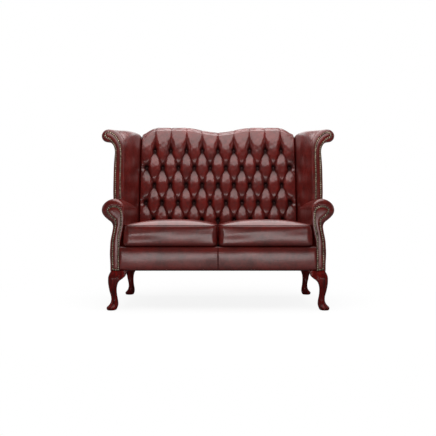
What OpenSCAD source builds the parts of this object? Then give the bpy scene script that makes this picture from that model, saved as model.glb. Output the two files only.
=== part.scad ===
// Two-seater wing sofa: deep-buttoned camel back, scroll arms, rolled wings, loose seat cushions
// and four cabriole legs on a sprung hardwood frame. Millimetres, +Z up, the front faces -Y.

/* [Seat] */
// Clear width between the arms
seat_w = 1018; // [900:2:1200]
// Height of the platform that the cushions lie on
platform_z = 345; // [330:1:380]
// Thickness of a cushion at its edges
cushion_h = 114; // [90:1:140]
// How far the crown of a cushion rises above its edges
cushion_crown = 26; // [10:1:40]
// Gap between the two cushions, and from each to its arm
cushion_gap = 2.5; // [2:0.5:8]
// How far the cushions stand out in front of the arm facings
cushion_out = 8; // [0:1:16]

/* [Base] */
// Height of the legs, up to the underside of the frame
leg_h = 213; // [205:1:230]
// Depth of the base, from the arm facings to the back
base_d = 650; // [620:2:700]
// Thickness of the seat rails
rail_t = 25; // [20:1:30]
// How far the tops of the seat rails lie below the platform
rail_drop = 20; // [20:1:28]
// How far the toes stand out past the base
toe_out = 18; // [10:1:24]
// Size of the square block at the top of a leg
leg_block = 68; // [64:1:76]

/* [Arms] */
// Height of the arms
arm_h = 603; // [585:1:640]
// Radius of the arm roll
roll_r = 60; // [56:1:66]
// How far the arm's front stands out from the seat at the base
arm_flare = 25; // [20:1:30]
// Width of the arm front at the base
arm_foot_w = 51; // [46:1:58]
// Width of the arm front at its waist
arm_waist_w = 61; // [54:1:66]
// Thickness of the padding on the inside of the arm
arm_pad_t = 34; // [26:1:36]

/* [Wings] */
// How far the tops of the wing scrolls stay below the humps of the back
wing_below = 75; // [50:1:110]
// Distance from the arm facing back to the wing's front edge, where that leaves the roll
wing_set = 232; // [200:1:300]
// Lean of the wing's front edge, in degrees
wing_lean = 7.5; // [4:0.5:10]
// How far the wing's edge swells forward of a straight line
wing_swell = 20; // [0:1:30]
// Thickness of the wing at its front edge
wing_t = 52; // [46:1:58]
// Radius of the wing scroll
scroll_r = 38; // [32:1:42]
// How far the scroll turns out past the wing
scroll_out = 76; // [70:1:100]

/* [Back] */
// Height of the humps of the camel back
back_h = 1101; // [1070:1:1150]
// How far the middle dips below the humps
back_dip = 33; // [10:1:50]
// How far the shoulders fall below the humps
shoulder_drop = 50; // [30:1:60]
// Lean of the back, in degrees
recline = 10.3; // [8:0.1:13]
// Thickness of the back, padding included
back_t = 118; // [110:1:140]
// Distance between buttons along a row
button_pitch = 104; // [98:0.5:106]
// Distance between rows of buttons, along the slope
row_pitch = 116.6; // [108:0.2:118]
// Depth of the buttons below the tops of the tufts
tuft_depth = 27; // [12:1:32]
// Radius of a covered button
button_r = 10; // [8:0.5:11]

/* [Trim] */
// Thickness of the leather covers
leather_t = 2; // [1.5:0.1:3]
// Clearance between pieces that touch
gap = 0.3; // [0.2:0.05:0.4]
// Width of the brass nail strip
strip_w = 9; // [7:0.5:10]
// Height that the nail strip stands proud
strip_t = 2.5; // [1.5:0.1:3]
// Radius of the leg bolts
bolt_r = 3.9; // [3:0.1:4.5]
// Diameter of the spring wire
wire_d = 3.5; // [3:0.1:3.6]
// Number of springs under each cushion
springs_per_seat = 5; // [4:1:5]

/* [Hidden] */
fine = 96; // segments on round parts

far = 1000; // past every edge, for cuts

seat_half = seat_w / 2;
roll_x = seat_half + roll_r;
roll_z = arm_h - roll_r;
arm_out_x = seat_half + arm_flare + arm_foot_w; // outer face of the base
arm_in_x = arm_out_x - arm_foot_w;         // inner edge of the arm front at the base
wing_top = back_h - wing_below;
wing_rear_out = 83;
wing_rear_x = seat_half + wing_rear_out;   // outer face of the wings at the back
waist_below = 16;
waist_z = roll_z - roll_r - waist_below;   // narrowest part of the arm front
rail_top = platform_z - rail_drop;
post_y = 14;                               // front face of the frame, behind the facings
frame_y = post_y + rail_t;                 // rear face of the front rail
lean = tan(recline);

// The back's own frame: y runs out through the outside back, z up the slope.
function out_y(z) = base_d + (z - leg_h) * lean;
function rake(d, z) = [out_y(z) + d / cos(recline), z];
function slope_z(z, d) = (z - leg_h + d * sin(recline)) / cos(recline);
module back_frame() translate([0, base_d, leg_h]) rotate([-recline, 0, 0]) children();
frame_front = -38;                         // front face of the back's timber
frame_rear = -leather_t - gap;             // rear face of the back's timber
hump_z = slope_z(back_h, -back_t / 2);
rear_round = 20;                           // radius of the back's top rear edge
edge_drop = rear_round + 2;                // the outside back stops below that round
top_y = base_d + (hump_z - edge_drop) * sin(recline);
y_shift = -(top_y - toe_out) / 2;          // centres the sofa front to back

module placed() translate([0, y_shift, 0]) children();
module right() placed() children();
module left() placed() mirror([1, 0, 0]) children();

// Curves
function arc(c, rx, rz, a0, a1, n) = [for (i = [0:n])
  let (a = a0 + (a1 - a0) * i / n) [c[0] + rx * cos(a), c[1] + rz * sin(a)]];
function knot(p, i) = p[max(0, min(len(p) - 1, i))];
function spline_at(p, i, t) =
  let (a = knot(p, i - 1), b = knot(p, i), c = knot(p, i + 1), d = knot(p, i + 2))
  0.5 * (2 * b + (c - a) * t + (2 * a - 5 * b + 4 * c - d) * t * t + (3 * b - a - 3 * c + d) * t * t * t);
function spline(p, n) = [for (i = [0:len(p) - 2]) for (k = [0:n - 1]) spline_at(p, i, k / n), p[len(p) - 1]];
function unit(v) = v / max(norm(v), 0.0001);
// Moves each point of a closed outline along its normal: inwards if d is positive.
function inset(p, d) = [for (i = [0:len(p) - 1])
  let (n = len(p), u = unit(p[i] - p[(i + n - 1) % n]) + unit(p[(i + 1) % n] - p[i]), v = unit(u))
  p[i] + d * [v[1], -v[0]]];
function reversed(p) = [for (i = [len(p) - 1:-1:0]) p[i]];
function mix(a, b, t) = a + (b - a) * t;
function sum(v, i = 0) = i < len(v) - 1 ? v[i] + sum(v, i + 1) : v[i];

// Solids
module along_y(y0, y1) translate([0, y1, 0]) rotate([90, 0, 0]) linear_extrude(y1 - y0) children();
module along_x(x0, x1) translate([x0, 0, 0]) rotate([90, 0, 90]) linear_extrude(x1 - x0) children();
module block(low, high) translate(low) cube(high - low);
// A closed skin over equal rings of points, with a triangle fan at each end.
module skin(rings) {
  n = len(rings[0]);
  m = len(rings);
  points = [for (r = rings) for (p = r) p];
  centres = [sum(rings[0]) / n, sum(rings[m - 1]) / n];
  walls = [for (j = [0:m - 2]) for (i = [0:n - 1]) let (a = j * n + i, b = j * n + (i + 1) % n)
    each [[a, b + n, b], [a, a + n, b + n]]];
  last = (m - 1) * n;
  ends = [for (i = [0:n - 1]) let (k = (i + 1) % n) each [[m * n, i, k], [m * n + 1, last + k, last + i]]];
  polyhedron(concat(points, centres), concat(walls, ends));
}

// Seat frame
post_in_arm = 8;                           // padding between the arm's outline and its post
rail_in_arm = 5.5;                         // the front rail's ends run in behind the arm's leather
rail_half = arm_in_x + rail_in_arm;
module front_rail() placed() color("burlywood")
  block([-rail_half, post_y, leg_h], [rail_half, frame_y, rail_top]);

post_in = seat_half + 21;                  // the back posts stand behind the arms
post_w = 36;
rear_rail_t = rail_t + 5;
module raked(x0, x1, d0, d1, z0, z1) along_x(x0, x1)
  polygon([rake(d0, z0), rake(d1, z0), rake(d1, z1), rake(d0, z1)]);
module rear_rail() placed() color("burlywood")
  raked(-post_in, post_in, frame_front, frame_front + rear_rail_t, leg_h, rail_top);

arm_tuck = 2;                              // the arm's outer face draws in towards the base
side_rail_x = arm_out_x - arm_tuck - leather_t - gap - rail_t;
module side_rail() color("burlywood") along_x(side_rail_x, side_rail_x + rail_t)
  polygon([[frame_y, leg_h], rake(frame_front, leg_h), rake(frame_front, rail_top), [frame_y, rail_top]]);

centre_rail_w = 40;
centre_rail_h = 60;
module centre_rail() placed() color("burlywood") along_x(-centre_rail_w / 2, centre_rail_w / 2)
  let (top = leg_h + centre_rail_h)
  polygon([[frame_y, leg_h], rake(frame_front, leg_h), rake(frame_front, top), [frame_y, top]]);

// The leg bolts run up through the blocks in the corners of the seat frame.
block_w = 70;
block_d = 62;
block_h = 50;
bolt_in = 51;                              // from the outer faces of a leg's block to its bolt
leg_x = arm_out_x - 4;                     // outer face of the legs' blocks
bolt_x = leg_x - bolt_in;
bolt_ys = [bolt_in, base_d - bolt_in];
tee_r = 5.5;
tee_h = 10;
flange_r = 11;
flange_t = 1.5;
thread_gap = 0.1;
module at_bolts() for (s = [-1, 1]) for (y = bolt_ys) translate([s * bolt_x, y, 0]) children();
module corner_block_pair() {
  x0 = side_rail_x - block_w;
  y0 = base_d - frame_y - block_d;
  z1 = leg_h + block_h;
  block([x0, frame_y, leg_h], [side_rail_x, frame_y + block_d, z1]);
  along_x(x0, side_rail_x) polygon([[y0, leg_h], rake(frame_front, leg_h), rake(frame_front, z1), [y0, z1]]);
}
module corner_blocks() placed() color("tan") difference() {
  union() {
    corner_block_pair();
    mirror([1, 0, 0]) corner_block_pair();
  }
  at_bolts() translate([0, 0, leg_h - 1]) cylinder(r = bolt_r + thread_gap, h = block_h + 2, $fn = fine);
  at_bolts() translate([0, 0, leg_h + block_h - tee_h - gap])
    cylinder(r = tee_r + thread_gap, h = tee_h + 1, $fn = fine);
}
module leg_tee_nuts() placed() color("silver") at_bolts() translate([0, 0, leg_h + block_h]) difference() {
  union() {
    cylinder(r = flange_r, h = flange_t, $fn = fine);
    translate([0, 0, -tee_h]) cylinder(r = tee_r, h = tee_h, $fn = fine);
  }
  translate([0, 0, -tee_h - 1]) cylinder(r = bolt_r + thread_gap, h = tee_h + flange_t + 2, $fn = fine);
}
bolt_below = 45;
bolt_above = 6;
module leg_bolts() placed() color("silver") at_bolts() translate([0, 0, leg_h - bolt_below])
  cylinder(r = bolt_r, h = bolt_below + block_h + bolt_above, $fn = fine);

// Zig-zag springs lie on the front and rear rails, each end held by a clip.
spring_w = 50;
spring_bends = 18;                         // half loops along a spring
spring_y0 = post_y + 0.45 * rail_t;
spring_y1 = rake(frame_front, rail_top)[0] + 0.45 * rear_rail_t;
spring_pitch = (spring_y1 - spring_y0) / spring_bends;
spring_margin = 15;
spring_step = (seat_half - 2 * spring_margin) / springs_per_seat;
spring_xs = [for (s = [-1, 1]) for (i = [0:springs_per_seat - 1])
  s * (spring_margin + spring_step * (i + 0.5))];
module zigzag() {
  reach = (spring_w - spring_pitch) / 2;
  for (i = [0:spring_bends]) translate([-reach, i * spring_pitch - wire_d / 2]) square([2 * reach, wire_d]);
  for (i = [0:spring_bends - 1]) translate([(i % 2 == 0 ? 1 : -1) * reach, (i + 0.5) * spring_pitch])
    intersection() {
      difference() {
        circle(d = spring_pitch + wire_d, $fn = 32);
        circle(d = spring_pitch - wire_d, $fn = 32);
      }
      translate([i % 2 == 0 ? 0 : -spring_w, -spring_w / 2]) square([spring_w, spring_w]);
    }
}
wire_z = rail_top + 0.2;
module seat_springs() placed() color("dimgray") for (x = spring_xs)
  translate([x, spring_y0, wire_z]) linear_extrude(wire_d) zigzag();
clip_w = 14;
clip_d = 13;
clip_h = wire_d + 1.2;
module spring_clips() placed() color("gray") for (x = spring_xs) for (y = [spring_y0, spring_y1])
  translate([x, y, rail_top]) difference() {
    block([-clip_w / 2, -clip_d / 2, 0], [clip_w / 2, clip_d / 2, clip_h]);
    block([-clip_w, -wire_d / 2 - gap, -1], [clip_w, wire_d / 2 + gap, wire_z - rail_top + wire_d + gap]);
  }

// The leather border covers the front rail and turns in over its top, where the platform cloth joins it.
border_lip = 60;
border_bulge = 9;
border_y = 3;
border_edge = 9;                           // the border's rounded top edge
platform_under = rail_top + clip_h + 0.1;
module front_border() placed() color("maroon") along_x(-arm_in_x + 1, arm_in_x - 1)
  let (high = platform_z - border_edge - 1, third = border_edge / 3)
  polygon(concat([[post_y - gap, leg_h], [border_y, leg_h]],
    arc([border_y, (leg_h + high) / 2], -border_bulge, (high - leg_h) / 2, -84, 84, 14),
    [[border_y + third, platform_z - third], [border_y + border_edge, platform_z], [border_lip, platform_z],
     [border_lip, platform_under], [post_y - gap, platform_under]]));
platform_tuck = 14;                        // the platform runs in under the back pad
module seat_platform() placed() color("saddlebrown") along_x(-seat_half + gap, seat_half - gap)
  let (rear = -back_t + platform_tuck)
  polygon([[border_lip + gap, platform_under], rake(rear, platform_under), rake(rear, platform_z),
    [border_lip + gap, platform_z]]);
lining_t = 1.5;
lining_edge = 8;
lining_in = 90;                            // the lining's corners are cut back round the legs
module lining_strip(x, y) translate([-x, y]) square([2 * x, base_d - 2 * y]);
module dust_cover() placed() color("black") translate([0, 0, leg_h - lining_t]) linear_extrude(lining_t) {
  lining_strip(leg_x - lining_in, 2 * lining_edge);
  lining_strip(leg_x - lining_edge, lining_in);
}

// Arms. The outline is the arm seen from the front: up the inside, over the roll and down the outside.
// Its points stand at shares of the height between the seat platform and the waist.
function rise(share) = mix(platform_z, waist_z, share);
arm_inside = spline([[arm_in_x, leg_h], [arm_in_x, rise(-0.12)], [arm_in_x - 3, rise(0.2)],
  [arm_in_x - 10, rise(0.53)], [seat_half + 8, rise(0.88)], [seat_half + 2, rise(1.12)],
  [seat_half, roll_z - 20]], 4);
arm_outside = spline([[seat_half + arm_waist_w + 10, rise(1.18)], [seat_half + arm_waist_w, rise(1.03)],
  [seat_half + arm_waist_w + 3, rise(0.71)], [arm_out_x - 8, rise(0.41)], [arm_out_x, rise(-0.08)],
  [arm_out_x, mix(leg_h, platform_z, 0.45)], [arm_out_x - arm_tuck, leg_h]], 4);
arm_outline = concat(arm_inside, arc([roll_x, roll_z], roll_r, roll_r, 180, -42, 24), arm_outside);
// The facing follows the arm's front and stops at the line of nails.
nail_line = concat(
  spline([[arm_in_x + 7, leg_h + 7], [arm_in_x + 7, rise(0.2)], [arm_in_x - 2, rise(0.7)],
    [seat_half + 18, rise(0.96)], [seat_half + 18, roll_z - 22]], 5),
  arc([roll_x - 8, roll_z - 14], 35, 34, 172, -8, 16),
  spline([[roll_x + 26, roll_z - 24], [roll_x + 4, roll_z - 39], [roll_x - 9, roll_z - 50],
    [roll_x - 12, waist_z], [roll_x - 7, rise(0.71)], [arm_out_x - 14, rise(0.2)],
    [arm_out_x - 13, leg_h + 7]], 5));
facing_out = inset(nail_line, -strip_w / 2);
facing_t = 2;

module arm_front_post() color("burlywood") along_y(post_y, frame_y) polygon(inset(arm_outline, post_in_arm));
arm_rail_w = 44;
// A rail from the arm's front post back to the timber of the back
module arm_rail(x, w, z, h) along_x(x, x + w)
  polygon([[frame_y, z], rake(frame_front, z), rake(frame_front, z + h), [frame_y, z + h]]);
module arm_top_rail(grow = 0) color("burlywood") let (half = arm_rail_w / 2 + grow)
  arm_rail(roll_x - half, 2 * half, roll_z - half, 2 * half);
slat_up = 8;
slat_h = 32;
slat_t = 22;
module arm_slat() color("burlywood")
  arm_rail(seat_half + arm_pad_t + gap, slat_t, platform_z + slat_up, slat_h);

// Everything in front of the outside back, whose leather lies on the slope.
module before_back(z0, z1, d = -leather_t - gap) along_x(0, far)
  polygon([[-far, z0], rake(d, z0), rake(d, z1), [-far, z1]]);
module arm_pad() color("darkred") difference() {
  intersection() {
    union() {
      along_y(frame_y, far) union() {
        translate([roll_x, roll_z]) circle(r = roll_r - gap / 2, $fn = fine);
        translate([seat_half + gap / 2, platform_z + gap]) square([arm_pad_t - gap, roll_z - platform_z]);
      }
      along_y(0, frame_y) polygon(arm_outline);
    }
    before_back(leg_h, arm_h + 1);
  }
  along_y(post_y - gap, frame_y + gap) polygon(inset(arm_outline, post_in_arm - gap));
  block([0, post_y - gap, leg_h - 1], [rail_half + gap, frame_y + gap, rail_top + gap]);
  along_y(-1, post_y) polygon(inset(facing_out, -gap));
  arm_top_rail(gap);
  raked(0, post_in + post_w + gap, frame_front - 2 * web_t - gap, far, leg_h - 1, arm_h + 1);
  along_y(wing_set, far) translate([board_x - gap, roll_z]) square([board_t + 2 * gap, far]);
}
module outside_arm() color("darkred") intersection() {
  along_y(frame_y, far) let (edge = [for (p = arm_outside) p - [gap / 2, 0]])
    polygon(concat(edge, reversed([for (p = edge) p - [leather_t, 0]])));
  before_back(leg_h, rise(1.11));
}
module arm_facing() color("brown") along_y(-facing_t, post_y - gap) polygon(facing_out);
module arm_nail_strip() color("peru") along_y(-facing_t - strip_t, -facing_t) difference() {
  polygon(inset(facing_out, 0.5));
  polygon(inset(facing_out, strip_w));
}

// Back frame
post_below = 60;
post_top = wing_top - post_below;
module back_post() color("burlywood")
  raked(post_in, post_in + post_w, frame_front, frame_rear - 1, leg_h, post_top);
dip_reach = 230;
shoulder_x = 4 * button_pitch;             // last column of the odd rows
shoulder_run = 109;                        // the shoulders start to fall this far from the sides
// Top edge of the back, up the slope, at a distance x from the middle
function crest(x) = let (a = abs(x)) hump_z
  - (a < dip_reach ? back_dip * (1 + cos(180 * a / dip_reach)) / 2 : 0)
  - shoulder_drop * (1 - cos(90 * max(0, a - seat_half + shoulder_run) / shoulder_run));
pad_half = seat_half - gap / 2;
columns = concat([-pad_half], [for (i = [-19:19]) i * button_pitch / 4], [pad_half]);
rail_below = 26;                           // padding over the top rail
top_rail_h = 110;
module top_rail_shape(low, over) let (end = post_in - gap, z = crest(pad_half) - rail_below + over)
  polygon(concat([for (x = columns) [x, crest(x) - rail_below + over]],
    [[end, z], [end, low], [-end, low], [-end, z]]));
module back_top_rail() placed() color("burlywood") back_frame() translate([0, frame_front + rail_t, 0])
  rotate([90, 0, 0]) linear_extrude(rail_t) top_rail_shape(top_rail_low, 0);
row_low = 257;                             // lowest row of buttons, up the slope
rows = 5;
low_rail_up = 30;
low_rail_z = platform_z + low_rail_up;
low_rail_h = 60;
module back_lower_rail() placed() color("burlywood")
  raked(-post_in, post_in, frame_front, frame_front + rail_t, low_rail_z, low_rail_z + low_rail_h);
upright_w = 44;
upright_low = slope_z(low_rail_z + low_rail_h, frame_front) + rail_t * lean + gap;
top_rail_low = hump_z - top_rail_h;
module back_upright() placed() color("burlywood") back_frame()
  block([-upright_w / 2, frame_front, upright_low], [upright_w / 2, frame_front + rail_t, top_rail_low]);
// Elastic webbing runs down the front of the back frame, with cross straps over it.
web_w = 50;
web_t = 1.6;
web_pitch = 140;
web_low = slope_z(low_rail_z, frame_front) + low_rail_h / 4;
web_high = top_rail_low + top_rail_h / 3;
strap_half = post_in + 0.4 * post_w;
strap_zs = [for (share = [0.24, 0.64, 0.92]) mix(web_low, top_rail_low, share)];
module back_webbing() placed() color("gray") back_frame() {
  for (i = [-3:3]) translate([i * web_pitch - web_w / 2, frame_front - web_t, web_low])
    cube([web_w, web_t, web_high - web_low]);
  for (z = strap_zs)
    translate([-strap_half, frame_front - 2 * web_t, z]) cube([2 * strap_half, web_t, web_w]);
}

// The buttoned pad is drawn as a surface: columns across, rows up the slope and over the top.
row_high = row_low + (rows - 1) * row_pitch;
saddle = 0.45 * tuft_depth;                // height of the folds half-way between two buttons
pleat = 0.3 * tuft_depth;                  // depth of the folds above the top row
function lattice(x, z) = let (a = x / button_pitch, b = (z - row_low) / row_pitch / 2,
    s = abs(sin(180 * (a + b))), t = abs(sin(180 * (a - b))))
  (tuft_depth - saddle) * sqrt(s * t) + saddle * min(1, (s * s + t * t) * 1.4);
function flutes(x) = tuft_depth - pleat * (1 - min(1, abs(sin(180 * x / button_pitch)) * 1.5));
// The side edge of the buttoned field, which steps out to every second row
function field_edge(z) = let (v = (z - row_low) / row_pitch, w = v - 2 * floor(v / 2))
  shoulder_x + button_pitch / 2 * (1 - abs(w - 1));
side_swell = tuft_depth - 3;               // height of the plain strips at the sides
function tuft(x, z) = abs(x) > field_edge(z) + 1 ? side_swell
  : z > row_high + 1 || z < row_low - 1 ? flutes(x) : lattice(x, z);
front_round = 45;                          // radius of the back's top front edge
pad_rear = -leather_t - gap;
// One column of the pad, as [out through the back, up the slope]
function pad_column(x) = let (top = crest(x), high = top - front_round, dent = tuft_depth - flutes(x),
    reach = front_round - dent, climb = front_round - dent / 2)
  concat([[-back_t + dent, pad_low]],
    [for (k = [-3:3 * (rows - 1)]) let (z = row_low + k * row_pitch / 3)
      [-back_t + tuft_depth - tuft(x, z), z]],
    [for (k = [1:2]) [-back_t + dent, mix(row_high, high, k / 3)]],
    [for (a = [0, 30, 60, 90]) [-back_t + front_round - reach * cos(a), high + climb * sin(a)]],
    [[pad_rear - rear_round, top - dent / 2], [pad_rear - 0.3 * rear_round, top - 0.3 * rear_round],
     [pad_rear, top - rear_round]]);
pad_up = 16;                               // the pad ends this far above the platform
pad_low = slope_z(platform_z, -back_t) + pad_up;
module pad_surface() skin([for (x = columns)
  reversed(concat([for (p = pad_column(x)) [x, p[0], p[1]]], [[x, pad_rear, pad_low]]))]);
pad_back = frame_front - 2 * web_t - gap;
module back_pad() placed() color("darkred") back_frame() difference() {
  pad_surface();
  translate([0, far, 0]) rotate([90, 0, 0]) linear_extrude(far - pad_back) top_rail_shape(0, gap);
}
// The rim of a button's dome, and its stem, clear the folds round it.
pit_slope = side_swell / (button_pitch / 4);
button_lift = button_r * pit_slope + 6 * gap;
stem_r = 1.5;
function button_spots() = [for (j = [0:rows - 1]) let (odd = j % 2) for (i = [-4 - odd:4])
  [(i + odd / 2) * button_pitch, row_low + j * row_pitch]];
module button() rotate([90, 0, 0]) {
  translate([0, 0, button_lift]) intersection() {
    translate([0, 0, -button_r * 0.75]) sphere(r = button_r * 1.25, $fn = fine);
    cylinder(r = button_r, h = button_r, $fn = fine);
  }
  translate([0, 0, stem_r * pit_slope + gap]) cylinder(r = stem_r, h = button_lift, $fn = 24);
}
module back_buttons() placed() color("maroon") back_frame() for (p = button_spots())
  translate([p[0], -back_t + tuft_depth, p[1]]) button();
back_sides = [[seat_half + 40, slope_z(wing_top - 12, 0)], [wing_rear_x - 4, slope_z(wing_top - 40, 0)],
  [wing_rear_x - 4, slope_z(arm_h, 0)], [arm_out_x - 2, slope_z(platform_z, 0)], [arm_out_x - 2, 1]];
module outside_back() placed() color("darkred") back_frame() rotate([90, 0, 0]) linear_extrude(leather_t)
  polygon(concat([for (x = columns) [x, crest(x) - edge_drop]], back_sides,
    [for (p = reversed(back_sides)) [-p[0], p[1]]]));

// Wings. Each is drawn between its front section and its rear section, which both hold the same points.
board_x = post_in + post_w + gap;
board_t = 15;
wing_front_out = 99;
wing_x = seat_half + wing_front_out;       // outer face at the front edge
wing_low = roll_z + 2;
wing_in = seat_half + gap / 2;
scroll_x = wing_x + scroll_out - scroll_r;
scroll_z = wing_top - scroll_r;
turn_h = 118;
wing_bend = wing_top - turn_h;             // where the wing starts to turn outwards
function wing_y(z) = wing_set + (z - wing_low) * tan(wing_lean)
  - wing_swell * sin(180 * (z - wing_low) / (wing_top - wing_low));
function rising(z0, z1, n, x) = [for (i = [0:n]) [x, mix(z0, z1, i / n)]];
wing_n = 5;
front_in = concat(rising(wing_low, wing_bend - 12, wing_n, wing_x - wing_t),
  arc([scroll_x, wing_bend], -(scroll_x - wing_x + wing_t), wing_top - wing_bend, 0, 90, 7),
  arc([scroll_x, scroll_z], scroll_r, scroll_r, 65, -90, 6));
front_out = concat(rising(wing_low, wing_bend - 20, wing_n, wing_x),
  [[wing_x + 1.5, scroll_z - 90], [wing_x + 7, scroll_z - 72], [wing_x + 16, scroll_z - 56],
   [scroll_x - 18, scroll_z - 43]]);
// At the back the wing has a plain rounded top, a little above its scroll.
rear_rise = 18;
rear_top = wing_top + rear_rise;
crest_r = 31;
crest_out_r = 40;
rear_crest_x = wing_rear_x - crest_out_r + 1;
rear_in = concat(rising(wing_low, wing_bend - 12, wing_n, wing_in),
  arc([rear_crest_x, rear_top - crest_r], wing_in - rear_crest_x, crest_r, 0, 90, 7),
  arc([rear_crest_x, rear_top - crest_out_r], wing_rear_x - rear_crest_x, crest_out_r, 65, 0, 3),
  [for (k = [1:3]) [wing_rear_x, rear_top - crest_out_r * (1 + 0.3 * k)]]);
rear_out = concat(rising(wing_low, wing_bend - 20, wing_n, wing_rear_x),
  [for (k = [0:3]) [wing_rear_x, mix(scroll_z - 88, rear_top - 90, k / 3)]]);
function slice(a, b, u) = [for (i = [0:len(a) - 1]) mix(a[i], b[i], u)];
pad_y = -back_t;
wing_steps = 4;
function wing_section(points, u) = [for (p = points)
  [p[0], mix(wing_y(p[1]), rake(pad_y, p[1])[0], u), p[1]]];
function rear_section(points) = [for (p = points) [p[0], rake(pad_rear, p[1])[0], p[1]]];
module wing_solid(thin) {
  a = front_in;
  b = [for (p = front_out) p - [thin, 0]];
  c = rear_in;
  d = [for (p = rear_out) p - [thin, 0]];
  rings = concat([for (k = [0:wing_steps]) let (u = k / wing_steps)
      wing_section(concat(slice(a, c, u), reversed(slice(b, d, u))), u)],
    [rear_section(concat(c, reversed(d)))]);
  n = len(rings[0]);
  m = len(rings);
  k = len(b);
  cap = concat([for (i = [0:k - 2]) each [[i, i + 1, n - 2 - i], [i, n - 2 - i, n - 1 - i]]],
    [for (i = [k - 1:len(a) - 2]) [i, i + 1, n - k]]);
  walls = [for (j = [0:m - 2]) for (i = [0:n - 1]) let (p = j * n + i, q = j * n + (i + 1) % n)
    each [[p, p + n, q], [q, p + n, q + n]]];
  polyhedron([for (r = rings) for (p = r) p],
    concat(walls, cap, [for (f = cap) [for (v = reversed(f)) v + (m - 1) * n]]));
}
board_in = 25;                             // padding before the board's front edge
board_high = wing_bend + 20;
module wing_board(grow = 0) color("wheat") along_x(board_x - grow, board_x + board_t + grow)
  let (zs = [for (i = [0:6]) mix(roll_z + arm_rail_w / 2, board_high + grow, i / 6)])
  polygon(concat([for (z = zs) [wing_y(z) + board_in - grow, z]],
    [for (z = [zs[6], zs[0]]) rake(frame_rear - 4, z) + [grow, 0]]));
module wing_pad() color("firebrick") difference() {
  wing_solid(leather_t + gap);
  along_y(0, far) translate([roll_x, roll_z]) circle(r = roll_r + gap / 2, $fn = fine);
  wing_board(gap);
  raked(post_in - gap, post_in + post_w + gap, frame_front - gap, far, leg_h, post_top + gap);
  back_frame() translate([0, far, 0]) rotate([90, 0, 0]) linear_extrude(far - pad_back)
    top_rail_shape(top_rail_low - gap, gap);
  for (z = strap_zs) back_frame() translate([-strap_half - gap, frame_front - 2 * web_t - gap, z - gap])
    cube([2 * (strap_half + gap), 3 * web_t, web_w + 2 * gap]);
}
// A point of the wing, lifted clear of the arm's roll
function over_roll(p) = let (high = sqrt(max(0, pow(roll_r + gap, 2) - pow(p[0] - roll_x, 2))))
  [p[0], max(p[1], roll_z + high)];
function outer_leather(e) = [for (p = concat([for (q = e) q - [leather_t, 0]], reversed(e))) over_roll(p)];
module outside_wing() color("darkred") skin(concat(
  [for (k = [0:wing_steps]) let (u = k / wing_steps)
    wing_section(outer_leather(slice(front_out, rear_out, u)), u)],
  [rear_section(outer_leather(rear_out))]));

// The wing facing is a strip that runs up the wing's edge and turns into the scroll.
strip_half = 18;
cane = concat([for (i = [0:8]) [wing_x - strip_half - 1, mix(arm_h + gap, wing_bend - 20, i / 8)]],
  spline([[wing_x - 14, wing_bend + 12], [wing_x - 2, wing_bend + 38], [wing_x + 15, wing_bend + 58],
    [scroll_x - 12, scroll_z - 6], [scroll_x + 4, scroll_z - 2]], 3));
function heading(p, i) = unit(knot(p, i + 1) - knot(p, i - 1));
function beside(p, d) = [for (i = [0:len(p) - 1]) let (h = heading(p, i)) p[i] + d * [h[1], -h[0]]];
function tip(p, r) = let (h = heading(p, len(p) - 1), e = p[len(p) - 1])
  [for (a = [60, 30, 0, -30, -60]) e + r * (cos(a) * h + sin(a) * [-h[1], h[0]])];
// The facing's edge: up one side, round the tip and down the other
function cane_edge(r) = concat(beside(cane, -r), tip(cane, r), reversed(beside(cane, r)));
function on_wing(p, d) = [p[0], wing_y(p[1]) - d, p[1]];
module wing_facing() color("brown") {
  e = cane_edge(strip_half - 1);
  n = len(e);
  k = len(cane);
  front = [for (p = e) on_wing(p, facing_t + gap)];
  rear = [for (p = e) on_wing(p, gap)];
  strip = concat([for (i = [0:k - 2]) each [[i, i + 1, n - 2 - i], [i, n - 2 - i, n - 1 - i]]],
    [for (i = [k - 1:n - k - 2]) [i, i + 1, n - k]]);
  polyhedron(concat(front, rear), concat(strip, [for (f = strip) [for (v = reversed(f)) v + n]],
    [for (i = [0:n - 1]) each [[i, (i + 1) % n + n, (i + 1) % n], [i, i + n, (i + 1) % n + n]]]));
}
module wing_nail_strip() color("peru") {
  outer = cane_edge(strip_half - 1.5);
  inner = cane_edge(strip_half - strip_w);
  skin([for (i = [0:len(outer) - 1]) [
    on_wing(outer[i], facing_t + 2 * gap), on_wing(outer[i], facing_t + 0.7 * strip_t),
    on_wing((outer[i] + inner[i]) / 2, facing_t + gap + strip_t),
    on_wing(inner[i], facing_t + 0.7 * strip_t), on_wing(inner[i], facing_t + 2 * gap)]]);
}

// Cabriole leg, drawn as sections [height, outer side, inner side], the sides measured in from the outer
// face of the leg's block. The heights of the knee are shares of the leg's height.
ankle = [[0, -13, 25], [5, -17, 31], [14, -18, 35], [21, -13, 37], [30, -4, 38], [42, 3, 38], [58, 7, 36],
  [76, 7, 33], [98, 2, 31], [120, -5, 31], [140, -10, 37]];
knee = [[0.78, -11.5, 46], [0.84, -8.5, 56], [0.92, -4, 64], [1, 0, leg_block]];
function leg_round(z) = z < 0.68 * leg_h ? 2 : 5;
function leg_ring(z, out, in, n) = let (c = (in + out) / 2, a = (in - out) / 2)
  [for (i = [0:n - 1]) let (t = 360 * i / n, e = 2 / leg_round(z))
    [leg_x - c + a * sign(cos(t)) * pow(abs(cos(t)), e), c + a * sign(sin(t)) * pow(abs(sin(t)), e), z]];
leg_rings = concat([for (s = ankle) leg_ring(s[0] * leg_h / 213, s[1] * toe_out / 18, s[2], 20)],
  [for (s = knee) leg_ring(s[0] * leg_h, s[1], s[2], 20)]);
ear_t = 26;
ear_reach = 85;
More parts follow.
